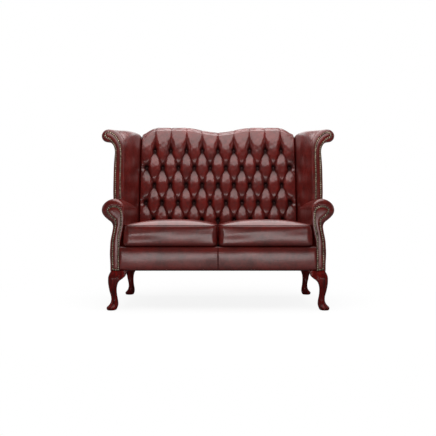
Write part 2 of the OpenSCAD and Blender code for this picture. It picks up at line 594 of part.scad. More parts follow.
module ear() along_y(1, ear_t) let (x = leg_x - ear_reach, z = leg_h)
  polygon(concat([[leg_x - 30, z], [x, z]],
    spline([[x + 1, z - 12], [x + 7, z - 31], [x + 22, z - 46], [leg_x - 46, z - 58],
      [leg_x - 35, z - 76]], 4),
    [[leg_x - 25, z - 76]]));
module leg() color("saddlebrown") difference() {
  union() {
    skin(leg_rings);
    ear();
    translate([leg_x, 0, 0]) mirror([1, 1, 0]) translate([-leg_x, 0, 0]) ear();
  }
  translate([bolt_x, bolt_in, leg_h - bolt_below - gap])
    cylinder(r = bolt_r + thread_gap, h = bolt_below + 1, $fn = fine);
}
module rear_leg() translate([0, base_d, 0]) mirror([0, 1, 0]) leg();

// Loose seat cushions: crowned, with sides that draw in between the corners
cushion_w = seat_half - 1.5 * cushion_gap;
cushion_y0 = -cushion_out;
cushion_d = rake(-back_t, platform_z)[0] - cushion_gap - cushion_y0;
cushion_n = 12;
draw_in = 5;
edge_round = 16;
cushion_z = platform_z + gap;
function hold(t) = 1 - pow(2 * t - 1, 4);  // 0 at the ends of a side, 1 along most of it
function belly(z) = max(0, 1 - pow(2 * (z - cushion_z) / cushion_h - 1, 2));
function bow(t) = max(0, 1 - pow(abs(2 * t - 1), 3));
function dome(x, y) = pow(bow(x / cushion_w) * bow(y / cushion_d), 0.7);
function cushion_ring(z, pull, rise = 0) = [for (side = [0:3]) for (k = [0:cushion_n - 1])
  let (t = k / cushion_n, d = pull + draw_in * hold(t) * (1 - 0.6 * belly(z)), w = cushion_w, l = cushion_d,
    x = mix(pull, w - pull, t), y = mix(pull, l - pull, t),
    e = [[x, d], [w - d, y], [w - x, l - d], [d, l - y]][side])
  [cushion_gap / 2 + e[0], cushion_y0 + e[1], z + rise * dome(e[0], e[1])]];
module cushion_form() skin(concat(
  [for (r = [[0, edge_round], [0.05, 5], [0.25, 0], [0.75, 0], [0.96, 5]])
    cushion_ring(cushion_z + r[0] * cushion_h, r[1])],
  [for (s = [0.04, 0.14, 0.3, 0.5, 0.75])
    cushion_ring(cushion_z + cushion_h, s * cushion_w / 2, cushion_crown)]));
foam_in = 14;
foam_up = 8;
foam_rise = 10;                            // crown of the foam
module foam(grow) along_x(cushion_gap / 2 + foam_in - grow, cushion_gap / 2 + cushion_w - foam_in + grow)
  let (middle = cushion_y0 + cushion_d / 2, half = cushion_d / 2 - foam_in + grow,
    z = cushion_z + foam_up - grow)
  polygon(concat([[middle - half, z], [middle + half, z]],
    arc([middle, cushion_z + cushion_h - foam_in], half, foam_rise + grow, 0, 180, 12)));
module seat_foam() color("lightyellow") foam(0);
// The cover opens along a zip in its back edge.
zip_h = 6;
zip_end = 60;
zip_z = cushion_z + cushion_h / 2;
zip_y0 = cushion_y0 + cushion_d - foam_in + gap + 0.1;
zip_y1 = cushion_y0 + cushion_d - draw_in;
module zip(grow, in, out) block([cushion_gap / 2 + zip_end - grow, zip_y0 - in, zip_z - zip_h / 2 - grow],
  [cushion_gap / 2 + cushion_w - zip_end + grow, zip_y1 + out, zip_z + zip_h / 2 + grow]);
module cushion_zip() color("dimgray") zip(0, 0, 0);
module seat_cushion() color("darkred") difference() {
  cushion_form();
  foam(gap);
  zip(gap, 1, 2 * draw_in);
}

front_rail();
rear_rail();
left() side_rail();  // side_rail_left
right() side_rail();  // side_rail_right
centre_rail();
corner_blocks();
seat_springs();
spring_clips();
seat_platform();
front_border();
dust_cover();
left() arm_front_post();  // arm_front_post_left
right() arm_front_post();  // arm_front_post_right
left() arm_top_rail();  // arm_top_rail_left
right() arm_top_rail();  // arm_top_rail_right
left() arm_slat();  // arm_slat_left
right() arm_slat();  // arm_slat_right
left() arm_pad();  // arm_pad_left
right() arm_pad();  // arm_pad_right
left() outside_arm();  // outside_arm_left
right() outside_arm();  // outside_arm_right
left() arm_facing();  // arm_facing_left
right() arm_facing();  // arm_facing_right
left() arm_nail_strip();  // arm_nail_strip_left
right() arm_nail_strip();  // arm_nail_strip_right
left() back_post();  // back_post_left
right() back_post();  // back_post_right
back_top_rail();
back_lower_rail();
back_upright();
back_webbing();
back_pad();
back_buttons();
outside_back();
left() wing_board();  // wing_board_left
right() wing_board();  // wing_board_right
left() wing_pad();  // wing_pad_left
right() wing_pad();  // wing_pad_right
left() outside_wing();  // outside_wing_left
right() outside_wing();  // outside_wing_right
left() wing_facing();  // wing_facing_left
right() wing_facing();  // wing_facing_right
left() wing_nail_strip();  // wing_nail_strip_left
right() wing_nail_strip();  // wing_nail_strip_right
left() leg();  // leg_front_left
right() leg();  // leg_front_right
left() rear_leg();  // leg_rear_left
right() rear_leg();  // leg_rear_right
leg_bolts();
leg_tee_nuts();
left() seat_cushion();  // seat_cushion_left
right() seat_cushion();  // seat_cushion_right
left() seat_foam();  // seat_foam_left
right() seat_foam();  // seat_foam_right
left() cushion_zip();  // cushion_zip_left
right() cushion_zip();  // cushion_zip_right
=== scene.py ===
"""Looks of the two-seater wing sofa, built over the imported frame. Metres, +Z up, the front faces -Y.
The sofa stands centred on the origin, so the plane of the arm facings lies at FRONT."""

from math import cos, pi, radians, sin, tan

import bpy
import numpy as np
from mathutils import Matrix, Vector, geometry


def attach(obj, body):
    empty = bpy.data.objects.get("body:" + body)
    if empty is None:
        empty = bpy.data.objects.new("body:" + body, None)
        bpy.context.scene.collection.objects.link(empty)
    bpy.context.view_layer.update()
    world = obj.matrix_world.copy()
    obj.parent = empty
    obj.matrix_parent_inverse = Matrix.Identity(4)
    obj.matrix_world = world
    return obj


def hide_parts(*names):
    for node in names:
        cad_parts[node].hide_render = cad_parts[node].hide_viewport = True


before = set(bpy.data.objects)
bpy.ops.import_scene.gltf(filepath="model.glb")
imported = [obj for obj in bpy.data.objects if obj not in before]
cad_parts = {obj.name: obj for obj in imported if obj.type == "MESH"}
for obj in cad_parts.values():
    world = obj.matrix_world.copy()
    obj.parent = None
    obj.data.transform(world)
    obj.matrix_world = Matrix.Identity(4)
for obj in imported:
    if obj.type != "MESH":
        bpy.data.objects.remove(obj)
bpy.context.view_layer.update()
# The plane of the arm facings, the way from it to the back's plane at the top of the legs, the height of the
# legs, and how far the back leans
FRONT, DEEP, LEG_H, TILT = -0.39376, 0.65, 0.213, radians(10.3)

# Leather. Every cover is cut from one kind of hide: oxblood leather, antiqued by hand, so that it is cloudy,
# under a thin satin lacquer over a pebbled grain. Shade is painted into the folds, pits, seams and hollows of
# each cover by a mark per point, which darkens the colour there and thins the lacquer.
def put(tree, kind, inputs=None, **settings):
    """Adds a shader node. A socket given as an input is linked to it."""
    n = tree.nodes.new(kind)
    for key, value in settings.items():
        setattr(n, key, value)
    for key, value in (inputs or {}).items():
        if isinstance(value, bpy.types.NodeSocket):
            tree.links.new(value, n.inputs[key])
        else:
            n.inputs[key].default_value = value
    return n


def effect(name, inputs, outputs):
    """A shader node group with those inputs {name: default} and outputs; returns it and its two ends"""
    group = bpy.data.node_groups.new(name, "ShaderNodeTree")
    for key, value in inputs.items():
        kind = "NodeSocketVector" if value is None else "NodeSocketFloat"
        socket = group.interface.new_socket(key, in_out="INPUT", socket_type=kind)
        if value is not None:
            socket.default_value = value
    for key in outputs:
        group.interface.new_socket(key, in_out="OUTPUT", socket_type="NodeSocketFloat")
    return group, put(group, "NodeGroupInput").outputs, put(group, "NodeGroupOutput").inputs


def sized(tree, value, low, high, out_low=0.0, out_high=1.0):
    """Value, taken from low..high to out_low..out_high"""
    return put(tree, "ShaderNodeMapRange", {"Value": value, "From Min": low, "From Max": high,
                                            "To Min": out_low, "To Max": out_high}).outputs[0]


def blended(tree, share, a, b, how="MIX"):
    """Colour a, blended with b by share"""
    n = put(tree, "ShaderNodeMix", {"Factor": share}, data_type="RGBA", blend_type=how)
    for socket, value in ((n.inputs[6], a), (n.inputs[7], b)):
        if isinstance(value, bpy.types.NodeSocket):
            tree.links.new(value, socket)
        else:
            socket.default_value = (*value, 1)
    return n.outputs[2]


def maths(tree, how, a, b=0.0):
    return put(tree, "ShaderNodeMath", {0: a, 1: b}, operation=how).outputs[0]


def noise(tree, place, scale, detail, **more):
    inputs = {"Vector": place, "Scale": scale, "Detail": detail, **more}
    return put(tree, "ShaderNodeTexNoise", inputs).outputs[0]


def bumps(tree, strength, distance, height):
    inputs = {"Strength": strength, "Distance": distance, "Height": height}
    return put(tree, "ShaderNodeBump", inputs).outputs[0]


def material(name, **constants):
    """A new material: its tree, its Principled shader and its Object coordinates"""
    m = bpy.data.materials.new(name)
    m.use_nodes = True
    shader = m.node_tree.nodes["Principled BSDF"]
    for key, value in constants.items():
        shader.inputs[key.replace("_", " ")].default_value = value
    return m, m.node_tree, shader, put(m.node_tree, "ShaderNodeTexCoord").outputs["Object"]


def feed(shader, **values):
    """Links node outputs to the shader's inputs, whose names are given with underscores"""
    for key, value in values.items():
        shader.id_data.links.new(value, shader.inputs[key.replace("_", " ")])


hide, given, out = effect("Hide", {"Vector": None}, ["Cloud", "Veins", "Grain"])
broad = noise(hide, given[0], 11.0, 5.0, Roughness=0.62)
small = noise(hide, given[0], 70.0, 3.0)
mixed = maths(hide, "ADD", maths(hide, "MULTIPLY", broad, 0.65), maths(hide, "MULTIPLY", small, 0.35))
hide.links.new(sized(hide, mixed, 0.38, 0.62), out["Cloud"])
veins, pebbles = [put(hide, "ShaderNodeTexVoronoi", {"Vector": given[0], "Scale": scale},
                      feature="DISTANCE_TO_EDGE").outputs[0] for scale in (120.0, 620.0)]
hide.links.new(sized(hide, veins, 0.0, 0.09), out["Veins"])
pores = maths(hide, "MULTIPLY", noise(hide, given[0], 1500.0, 2.0), 0.3)
hide.links.new(maths(hide, "ADD", sized(hide, pebbles, 0.0, 0.25), pores), out["Grain"])

leather, tree, shader, place = material("leather", Coat_Roughness=0.17, Specular_IOR_Level=0.31,
                                        Specular_Tint=(1, 0.76, 0.73, 1))
skin_fx = put(tree, "ShaderNodeGroup", {"Vector": place}, node_tree=hide).outputs
painted_shade = put(tree, "ShaderNodeAttribute", attribute_name="painted_shade").outputs["Fac"]
tone = blended(tree, skin_fx["Cloud"], (0.066, 0.0048, 0.0036), (0.142, 0.0105, 0.0078))
tone = blended(tree, sized(tree, skin_fx["Veins"], 0, 1, 0.35, 0.0), tone, (0.045, 0.003, 0.0025))
# Painted shade: where a piece's mark is high the colour goes towards near-black, the roughness rises and the
# lacquer coat fades out.
tone = blended(tree, painted_shade, tone, (0.01, 0.001, 0.001))
rough = maths(tree, "ADD", sized(tree, skin_fx["Cloud"], 0, 1, 0.385, 0.275),
              maths(tree, "MULTIPLY", painted_shade, 0.32))
height = maths(tree, "ADD", maths(tree, "MULTIPLY", skin_fx["Veins"], 0.9), skin_fx["Grain"])
feed(shader, Base_Color=tone, Roughness=rough, Coat_Weight=sized(tree, painted_shade, 0, 0.8, 0.54, 0.0),
     Normal=bumps(tree, 0.35, 0.00016, height))

# Timber. The hidden frame is of planed beech rails and posts, and the wings are stiffened by birch plywood.
# None of it is finished, so it keeps pale flat colour with short flecks along the grain.
grain, given, out = effect("Timber grain", {"Vector": None, "Stretch": 14.0}, ["Rings", "Flecks"])
long_way = put(grain, "ShaderNodeMapping", {"Vector": given[0], "Scale": (1.0, 14.0, 14.0)}).outputs[0]
rings = noise(grain, long_way, given[1], 5.0, Roughness=0.6, Distortion=0.4)
grain.links.new(sized(grain, rings, 0.36, 0.64), out["Rings"])
grain.links.new(sized(grain, noise(grain, long_way, 60.0, 2.0), 0.56, 0.66), out["Flecks"])


def timber(name, pale, dark, stretch, turn=(0, 0, 0), **constants):
    """Wood with its grain along X, or along the axis that turn brings there"""
    m, tree, shader, place = material(name, **constants)
    turned = put(tree, "ShaderNodeMapping", {"Vector": place, "Rotation": turn}).outputs[0]
    fx = put(tree, "ShaderNodeGroup", {"Vector": turned, "Stretch": stretch}, node_tree=grain).outputs
    tone = blended(tree, fx["Rings"], dark, pale)
    tone = blended(tree, maths(tree, "MULTIPLY", fx["Flecks"], 0.45), tone, tuple(c * 0.45 for c in dark))
    feed(shader, Base_Color=tone, Normal=bumps(tree, 0.25, 0.0004, fx["Rings"]))
    return m, tree, shader, fx


def pair(name):
    return f"{name}_left", f"{name}_right"


def paint(look, slot, *names):
    """Gives CAD nodes a material. The slot is not used."""
    for name in names:
        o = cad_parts[name]
        o.data.materials.clear()
        o.data.materials.append(look)


BEECH = ((0.6, 0.42, 0.26), (0.42, 0.26, 0.14), 3.0)
UP, ALONG = (0, pi / 2, 0), (0, 0, pi / 2)
paint(timber("beech_across", *BEECH, Roughness=0.62)[0], "beech",
      "front_rail", "rear_rail", "back_top_rail", "back_lower_rail", "corner_blocks")
paint(timber("beech_along", *BEECH, ALONG, Roughness=0.62)[0], "beech",
      *pair("side_rail"), "centre_rail", *pair("arm_top_rail"), *pair("arm_slat"))
paint(timber("beech_up", *BEECH, UP, Roughness=0.62)[0], "beech",
      *pair("arm_front_post"), *pair("back_post"), "back_upright")
paint(timber("plywood", (0.66, 0.5, 0.32), (0.52, 0.36, 0.2), 2.0, UP, Roughness=0.66)[0], "plywood",
      *pair("wing_board"))

# Springs and fixings. Zig-zag springs of drawn wire are held by folded zinc-plated clips, and each leg is
# drawn up by a hanger bolt into a tee nut. All are plain hardware with the marks of handling.
def metal(name, bright, dull, rough, scale):
    """Metal that is duller and darker in the hollows of its spots"""
    m, tree, shader, place = material(name, Metallic=1.0)
    spots = noise(tree, place, scale, 4.0)
    wear = sized(tree, spots, 0.35, 0.65)
    feed(shader, Base_Color=blended(tree, wear, dull, bright), Normal=bumps(tree, 0.15, 0.0003, spots),
         Roughness=sized(tree, wear, 0, 1, rough + 0.18, rough))
    return m


paint(metal("spring_wire", (0.2, 0.2, 0.21), (0.07, 0.065, 0.06), 0.36, 90.0),
      "spring_wire", "seat_springs")
paint(metal("zinc_steel", (0.62, 0.63, 0.62), (0.42, 0.43, 0.42), 0.32, 160.0), "zinc_steel",
      "spring_clips", "leg_bolts", "leg_tee_nuts")

# Cloths. The cushions lie on a quilted platform cloth, elastic webbing backs the buttoned pad, and a black
# spunbond lining closes the underside. The fillings are cut foam, and the covers close with nylon zips.
weave, given, out = effect("Weave", {"Vector": None, "Threads": 700.0}, ["Threads", "Shade"])
wave = {"Vector": given[0], "Scale": given[1]}
lines = [put(weave, "ShaderNodeTexWave", wave, bands_direction=axis).outputs[1] for axis in "XYZ"]
crossed = maths(weave, "MULTIPLY", maths(weave, "MAXIMUM", lines[0], lines[2]),
                maths(weave, "ADD", lines[1], 0.5))
weave.links.new(crossed, out["Threads"])
weave.links.new(sized(weave, noise(weave, given[0], 24.0, 4.0), 0.35, 0.65), out["Shade"])


def cloth(name, pale, dark, threads, depth=0.0005, **constants):
    m, tree, shader, place = material(name, **constants)
    fx = put(tree, "ShaderNodeGroup", {"Vector": place, "Threads": threads}, node_tree=weave).outputs
    share = maths(tree, "MULTIPLY", fx["Shade"], sized(tree, fx["Threads"], 0, 1, 0.6, 1.0))
    feed(shader, Base_Color=blended(tree, share, dark, pale), Normal=bumps(tree, 0.6, depth, fx["Threads"]))
    return m


paint(cloth("platform_cloth", (0.06, 0.03, 0.022), (0.025, 0.012, 0.01), 500.0, Roughness=0.9),
      "platform_cloth", "seat_platform")
paint(cloth("webbing", (0.05, 0.05, 0.055), (0.02, 0.02, 0.022), 260.0, Roughness=0.85),
      "webbing", "back_webbing")
paint(cloth("lining", (0.022, 0.022, 0.024), (0.01, 0.01, 0.011), 900.0, Roughness=0.95),
      "lining", "dust_cover")
paint(cloth("foam", (0.72, 0.62, 0.4), (0.6, 0.49, 0.28), 1400.0, 0.0008, Roughness=1.0), "foam",
      *pair("seat_foam"))
zip_look = cloth("zip", (0.03, 0.012, 0.012), (0.012, 0.006, 0.006), 1100.0, Roughness=0.6)
paint(zip_look, "zip", *pair("cushion_zip"))

# Legs. Four cabriole legs of mahogany, stained dark red and lacquered: a square block under the frame, a
# knee with a shaped bracket each way, a slim ankle and a pad foot that points out over the corner.
mahogany, tree, shader, fx = timber("mahogany", (0.135, 0.0022, 0.0014), (0.03, 0.001, 0.0008), 5.0, UP,
                                    Coat_Weight=0.12, Coat_Roughness=0.1, Specular_IOR_Level=0.14,
                                    Specular_Tint=(1, 0.6, 0.55, 1))
feed(shader, Roughness=sized(tree, fx["Rings"], 0, 1, 0.46, 0.36))


def alone(*objects):
    """Selects only these objects, the first one active"""
    bpy.ops.object.select_all(action="DESELECT")
    for o in objects:
        o.select_set(True)
    bpy.context.view_layer.objects.active = objects[0]


def mode(name):
    bpy.ops.object.mode_set(mode=name)


def linked(name, data):
    o = bpy.data.objects.new(name, data)
    bpy.context.collection.objects.link(o)
    return o


def points_of(o):
    co = np.empty(3 * len(o.data.vertices), np.float32)
    o.data.vertices.foreach_get("co", co)
    return co.reshape(-1, 3).astype(float)


def move_points(o, co):
    o.data.vertices.foreach_set("co", np.ascontiguousarray(co, np.float32).ravel())
    o.data.update()


def closed(o, merge=2e-5, fill=True):
    """Merges seams, closes holes and turns the faces outwards"""
    alone(o)
    mode("EDIT")
    bpy.ops.mesh.select_all(action="SELECT")
    bpy.ops.mesh.remove_doubles(threshold=merge)
    if fill:
        bpy.ops.mesh.fill_holes(sides=0)
    bpy.ops.mesh.select_all(action="SELECT")
    bpy.ops.mesh.normals_make_consistent(inside=False)
    mode("OBJECT")
    return o


def marked(o, name, values):
    """Stores a value per point, for the material"""
    layer = o.data.attributes.get(name) or o.data.attributes.new(name, "FLOAT", "POINT")
    layer.data.foreach_set("value", np.asarray(values, np.float32))


def primitive(add, **sizes):
    """A new simple mesh at the origin, made by that operator, with nothing else selected"""
    bpy.ops.object.select_all(action="DESELECT")
    add(**sizes)
    return bpy.context.object


def skinned(name, rings, round_about=True, fill=True, painted_shade=None):
    """A grid laid over rings of points, shaped (rings, points, 3). Each ring closes on itself."""
    if round_about:
        rings = np.concatenate([rings, rings[:, :1]], 1)
    m, n = rings.shape[:2]
    o = primitive(bpy.ops.mesh.primitive_grid_add, x_subdivisions=n - 1, y_subdivisions=m - 1, size=2)
    o.name = name
    co = points_of(o)
    i = np.rint((co[:, 0] + 1) / 2 * (n - 1)).astype(int)
    j = np.rint((co[:, 1] + 1) / 2 * (m - 1)).astype(int)
    move_points(o, rings[j, i])
    if painted_shade is not None:
        marked(o, "painted_shade", painted_shade[j, i])
    return closed(o, fill=fill)


def joined(name, *objects):
    alone(*objects)
    bpy.ops.object.join()
    objects[0].name = name
    return objects[0]


def changed(o, kind, **settings):
    """Adds a modifier and applies it"""
    alone(o)
    mod = o.modifiers.new(kind.title(), kind)
    for key, value in settings.items():
        setattr(mod, key, value)
    bpy.ops.object.modifier_apply(modifier=mod.name)
    return o


def shown(o, look, body, nodes=(), smooth=35):
    """Gives a finished piece its material, its shading and its body, and hides the CAD nodes it stands for"""
    o.data.materials.clear()
    o.data.materials.append(look)
    alone(o)
    bpy.ops.object.shade_smooth_by_angle(angle=radians(smooth))
    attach(o, body)
    if nodes:
        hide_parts(*nodes)
    return o


def copy_of(o, name):
    return linked(name, o.data.copy())


def mirrored(o, name, across=(1, 0, 0)):
    """A copy of a piece on the other side of the middle"""
    twin = copy_of(o, name)
    twin.data.transform(Matrix.Scale(-1, 4, across))
    twin.data.flip_normals()
    return twin


def both_sides(o, cad, look, smooth=50):
    """Finishes a right-hand piece and its twin on the left, each in place of its side's CAD node"""
    twin = mirrored(o, o.name.replace("right", "left"))
    shown(o, look, "frame", [f"{cad}_right"], smooth)
    shown(twin, look, "frame", [f"{cad}_left"], smooth)


def curve(points, n):
    """Points on a smooth curve through the given ones, n to each span"""
    p = np.array(points, float)
    p = np.vstack([p[:1], p, p[-1:]])
    t = np.linspace(0, 1, n, endpoint=False)[:, None]
    spans = [0.5 * (2 * b + (c - a) * t + (2 * a - 5 * b + 4 * c - d) * t ** 2
                    + (3 * b - a - 3 * c + d) * t ** 3) for a, b, c, d in zip(p, p[1:], p[2:], p[3:])]
    return np.vstack(spans + [p[-1:]])


def unit(t):
    return np.clip(t, 0, 1)


def bell(distance, width):
    return np.exp(-(distance / width) ** 2)


def step(t):
    t = unit(t)
    return t * t * (3 - 2 * t)


LEG_X = 0.581
# Height, then how far the outer side and the inner side stand in from the block's outer face
profile = curve([(0, -0.017, 0.024), (0.003, -0.0215, 0.03), (0.012, -0.0235, 0.0345),
                 (0.018, -0.0205, 0.0365), (0.028, -0.0105, 0.0385), (0.042, -0.003, 0.038),
                 (0.058, -0.0005, 0.0355), (0.076, -0.002, 0.0325), (0.098, -0.0075, 0.0305),
                 (0.12, -0.012, 0.031), (0.14, -0.015, 0.035), (0.158, -0.0155, 0.042),
                 (0.176, -0.0148, 0.05), (0.192, -0.011, 0.059), (0.205, -0.005, 0.0655),
                 (0.213, -0.0025, 0.068)], 4)
angle = np.linspace(0, 2 * pi, 48, endpoint=False)
body_rings = []
for z, outer, inner in profile:
    middle, half = (outer + inner) / 2, (inner - outer) / 2
    square = 2 / (2.0 + 3.2 * unit((z - 0.135) / 0.05))
    x = np.sign(np.cos(angle)) * np.abs(np.cos(angle)) ** square
    y = np.sign(np.sin(angle)) * np.abs(np.sin(angle)) ** square
    body_rings.append(np.stack([LEG_X - middle + half * x, middle + half * y, np.full(48, z)], 1))
leg = skinned("leg", np.array(body_rings))
brackets = []
for turn in (0, 1):
    rings = []
    for a in np.concatenate([np.linspace(0.018, 0.08, 20), [0.0825, 0.0842, 0.085]]):
        low = np.interp(a, [0.018, 0.029, 0.034, 0.0417, 0.0575, 0.07, 0.077, 0.083, 0.085],
                        [0.118, 0.127, 0.143, 0.155, 0.1665, 0.1765, 0.184, 0.202, 0.205])
        z = np.linspace(LEG_H, low + 0.006, 14)
        flat = step((a - 0.034) / 0.052)
        front = np.interp(z, profile[:, 0], profile[:, 1]) * (1 - flat) + 0.002 * flat + 0.0012
        y, z = list(front), list(z)
        for t in np.radians((18, 36, 54, 72, 90)):
            y.append(front[-1] + 0.007 * (1 - cos(t)))
            z.append(low + 0.006 * (1 - sin(t)))
        ring = np.stack([np.full(24, LEG_X - a), y + [0.0225, 0.0248, 0.0255, 0.0255, 0.0255],
                         z + [low, low + 0.0012, low + 0.0035, (low + LEG_H) / 2, LEG_H]], 1)
        shrink = max(0.0, (a - 0.08) / 0.005) ** 2 * 0.35
        rings.append(ring + (ring.mean(0) - ring) * shrink * (1, 1, 0.6))
    side = np.array(rings)
    if turn == 1:
        side = np.stack([LEG_X - side[:, :, 1], LEG_X - side[:, :, 0], side[:, :, 2]], 2)
    brackets.append(skinned("bracket", side))
leg = joined("leg_front_right_wood", leg, *brackets)
leg.data.transform(Matrix.Translation((0, FRONT, 0)))
rear = mirrored(leg, "leg_rear_right_wood", (0, 1, 0))
rear.data.transform(Matrix.Translation((0, DEEP + 2 * FRONT, 0)))
both_sides(leg, "leg_front", mahogany, 30)
both_sides(rear, "leg_rear", mahogany, 30)

# Front border. One strip of leather in two lengths, joined by an upright seam in the middle, is pulled over
# felt on the front rail: it swells forward, is turned under the rail, and runs in under the cushions.
def rumpled(o, size, depth, seed, stretch=(1, 1, 1)):
    """Moves a cover's points in and out a little, as its stuffing does, in soft waves about that size"""
    rng = np.random.default_rng(seed)
    co, normal = points_of(o), np.empty(3 * len(o.data.vertices), np.float32)
    o.data.vertices.foreach_get("normal", normal)
    waves = rng.normal(size=(16, 3))
    waves *= 2 * pi / size * rng.uniform(0.5, 1.7, (16, 1)) / np.linalg.norm(waves, axis=1, keepdims=True)
    height = np.sin(co @ (waves * stretch).T + rng.uniform(0, 2 * pi, 16)).sum(1) / 4
    move_points(o, co + normal.reshape(-1, 3) * (height * depth)[:, None])
    return o


BORDER_HALF, BORDER_LOW, BORDER_HIGH = 0.533, 0.2195, 0.3335
near_end = 0.034 * np.linspace(0, 1, 14)
x = np.concatenate([np.linspace(-BORDER_HALF, BORDER_HALF, 141), np.linspace(-0.024, 0.024, 33),
                    BORDER_HALF - near_end, -BORDER_HALF + near_end])
x = np.unique(np.round(x, 5))
z = np.linspace(BORDER_LOW, BORDER_HIGH, 34)
way_up = np.abs(2 * ((z - BORDER_LOW) / (BORDER_HIGH - BORDER_LOW)) ** 0.86 - 1)
swell = 0.6 * (1 - way_up ** 8) ** 0.8 + 0.4 * (1 - way_up ** 2)
fold_under = [(0.0137, 0.2133), (0.0105, 0.2131), (0.0085, 0.2134), (0.007, 0.2144), (0.0058, 0.2162),
              (0.0044, 0.2182)]
over_top = [(0.0036, 0.3372), (0.0052, 0.3405), (0.0085, 0.3432), (0.013, 0.3446), (0.022, 0.345),
            (0.04, 0.345), (0.06, 0.345), (0.06, 0.34), (0.06, 0.33), (0.0137, 0.33), (0.0137, 0.27)]
seam = bell(x, 0.0022)
tight = seam[:, None] * 0.0024 + 0.0004 * bell(x, 0.016)[:, None] * np.sin(z * 2 * pi / 0.021) ** 2
from_end = BORDER_HALF - np.abs(x)
ends = (0.5 + 0.3 * step(from_end / 0.01) + 0.2 * step(from_end / 0.055))[:, None]
rings = []
for k, station in enumerate(x):
    front = 0.003 - 0.0064 * swell * ends[k] + tight[k] * swell ** 0.3
    ring = fold_under + list(zip(front, z)) + over_top
    rings.append([(station, FRONT + a, b) for a, b in ring])
border = rumpled(skinned("front_border_leather", np.array(rings)), 0.11, 0.0003, 3, (0.5, 1, 1))
co = points_of(border)
# Painted shade on the border: darker down the middle seam, where the strip turns under the rail and where it
# runs in under the cushions.
marked(border, "painted_shade", unit(0.75 * bell(co[:, 0], 0.0022) + 0.8 * step((0.2185 - co[:, 2]) / 0.003)
                            + 0.4 * step((co[:, 2] - 0.337) / 0.006)))
shown(border, leather, "frame", ["front_border"])

# Arms. Each arm is a padded roll on a timber rail, flared at the front, where its leather is drawn in small
# pleats round the scroll and held by a padded facing with a close row of domed brass nails. A separate
# panel closes the outside under the roll.
def inset(outline, d):
    """A closed outline, drawn clockwise, with each point moved in by d"""
    ahead, behind = np.roll(outline, -1, 0) - outline, outline - np.roll(outline, 1, 0)
    ahead /= np.linalg.norm(ahead, axis=1, keepdims=True) + 1e-9
    behind /= np.linalg.norm(behind, axis=1, keepdims=True) + 1e-9
    way = ahead + behind
    way /= np.linalg.norm(way, axis=1, keepdims=True) + 1e-9
    return outline + np.broadcast_to(np.asarray(d, float), len(outline))[:, None] * way[:, [1, 0]] * (1, -1)


def apart(points, line):
    """Distance of each point from a closed line of points"""
    best = np.full(len(points), 9.0)
    for p, d in zip(line, np.roll(line, -1, 0) - line):
        t = unit(((points - p) @ d) / max(d @ d, 1e-12))
        best = np.minimum(best, np.linalg.norm(points - p - t[:, None] * d, axis=1))
    return best


def within(points, outline):
    """True for each point inside a closed outline"""
    found = np.zeros(len(points), bool)
    for a, b in zip(outline, np.roll(outline, -1, 0)):
        crosses = (a[1] > points[:, 1]) != (b[1] > points[:, 1])
        at = a[0] + (points[:, 1] - a[1]) * (b[0] - a[0]) / (b[1] - a[1] if b[1] != a[1] else 1e-9)
        found ^= crosses & (points[:, 0] < at)
    return found


def filled(name, loops, spacing, place):
    """Triangles over the first outline, with edges along the other lines; place puts them in space"""
    low, high = loops[0].min(0), loops[0].max(0)
    grid = np.stack(np.meshgrid(np.arange(low[0], high[0], spacing),
                                np.arange(low[1], high[1], spacing * 0.87)), 2)
    grid[1::2, :, 0] += spacing / 2
    grid = grid.reshape(-1, 2)
    grid = grid[within(grid, loops[0])]
    for loop in loops:
        grid = grid[apart(grid, loop) > spacing * 0.6]
    flat = np.vstack(loops + [grid])
    edges, first = [], 0
    for loop in loops:
        edges += [(first + i, first + (i + 1) % len(loop)) for i in range(len(loop))]
        first += len(loop)
    points, _, faces, *_ = geometry.delaunay_2d_cdt([Vector(p) for p in flat], edges, [], 1, 1e-7)
    mesh = bpy.data.meshes.new(name)
    mesh.from_pydata(place(np.array(points)).tolist(), [], faces)
    return linked(name, mesh)


def edge_radii(outline, line, widest):
    """Radius of the rolled edge at each point of an outline: half the way to the nails, evened out"""
    r = np.clip(apart(outline, line) * 0.55, 0.002, widest)
    for _ in range(6):
        r = (np.roll(r, 1) + 2 * r + np.roll(r, -1)) / 4
    return r


def pleats(points, centre, line, spots, depth, reach):
    """Depth of the small pleats that run in to the nails round a scroll"""
    turn = np.degrees(np.arctan2(points[:, 1] - centre[1], points[:, 0] - centre[0]))
    far = np.linalg.norm(points - centre, axis=1)
    total = np.zeros(len(points))
    for k, spot in enumerate(spots):
        off = np.radians((turn - spot + 180) % 360 - 180) * far
        total += (0.6 + 0.4 * ((k * 7) % 5) / 4) * bell(off, 0.0022)
    return depth * total * np.exp(-apart(points, line) / reach)


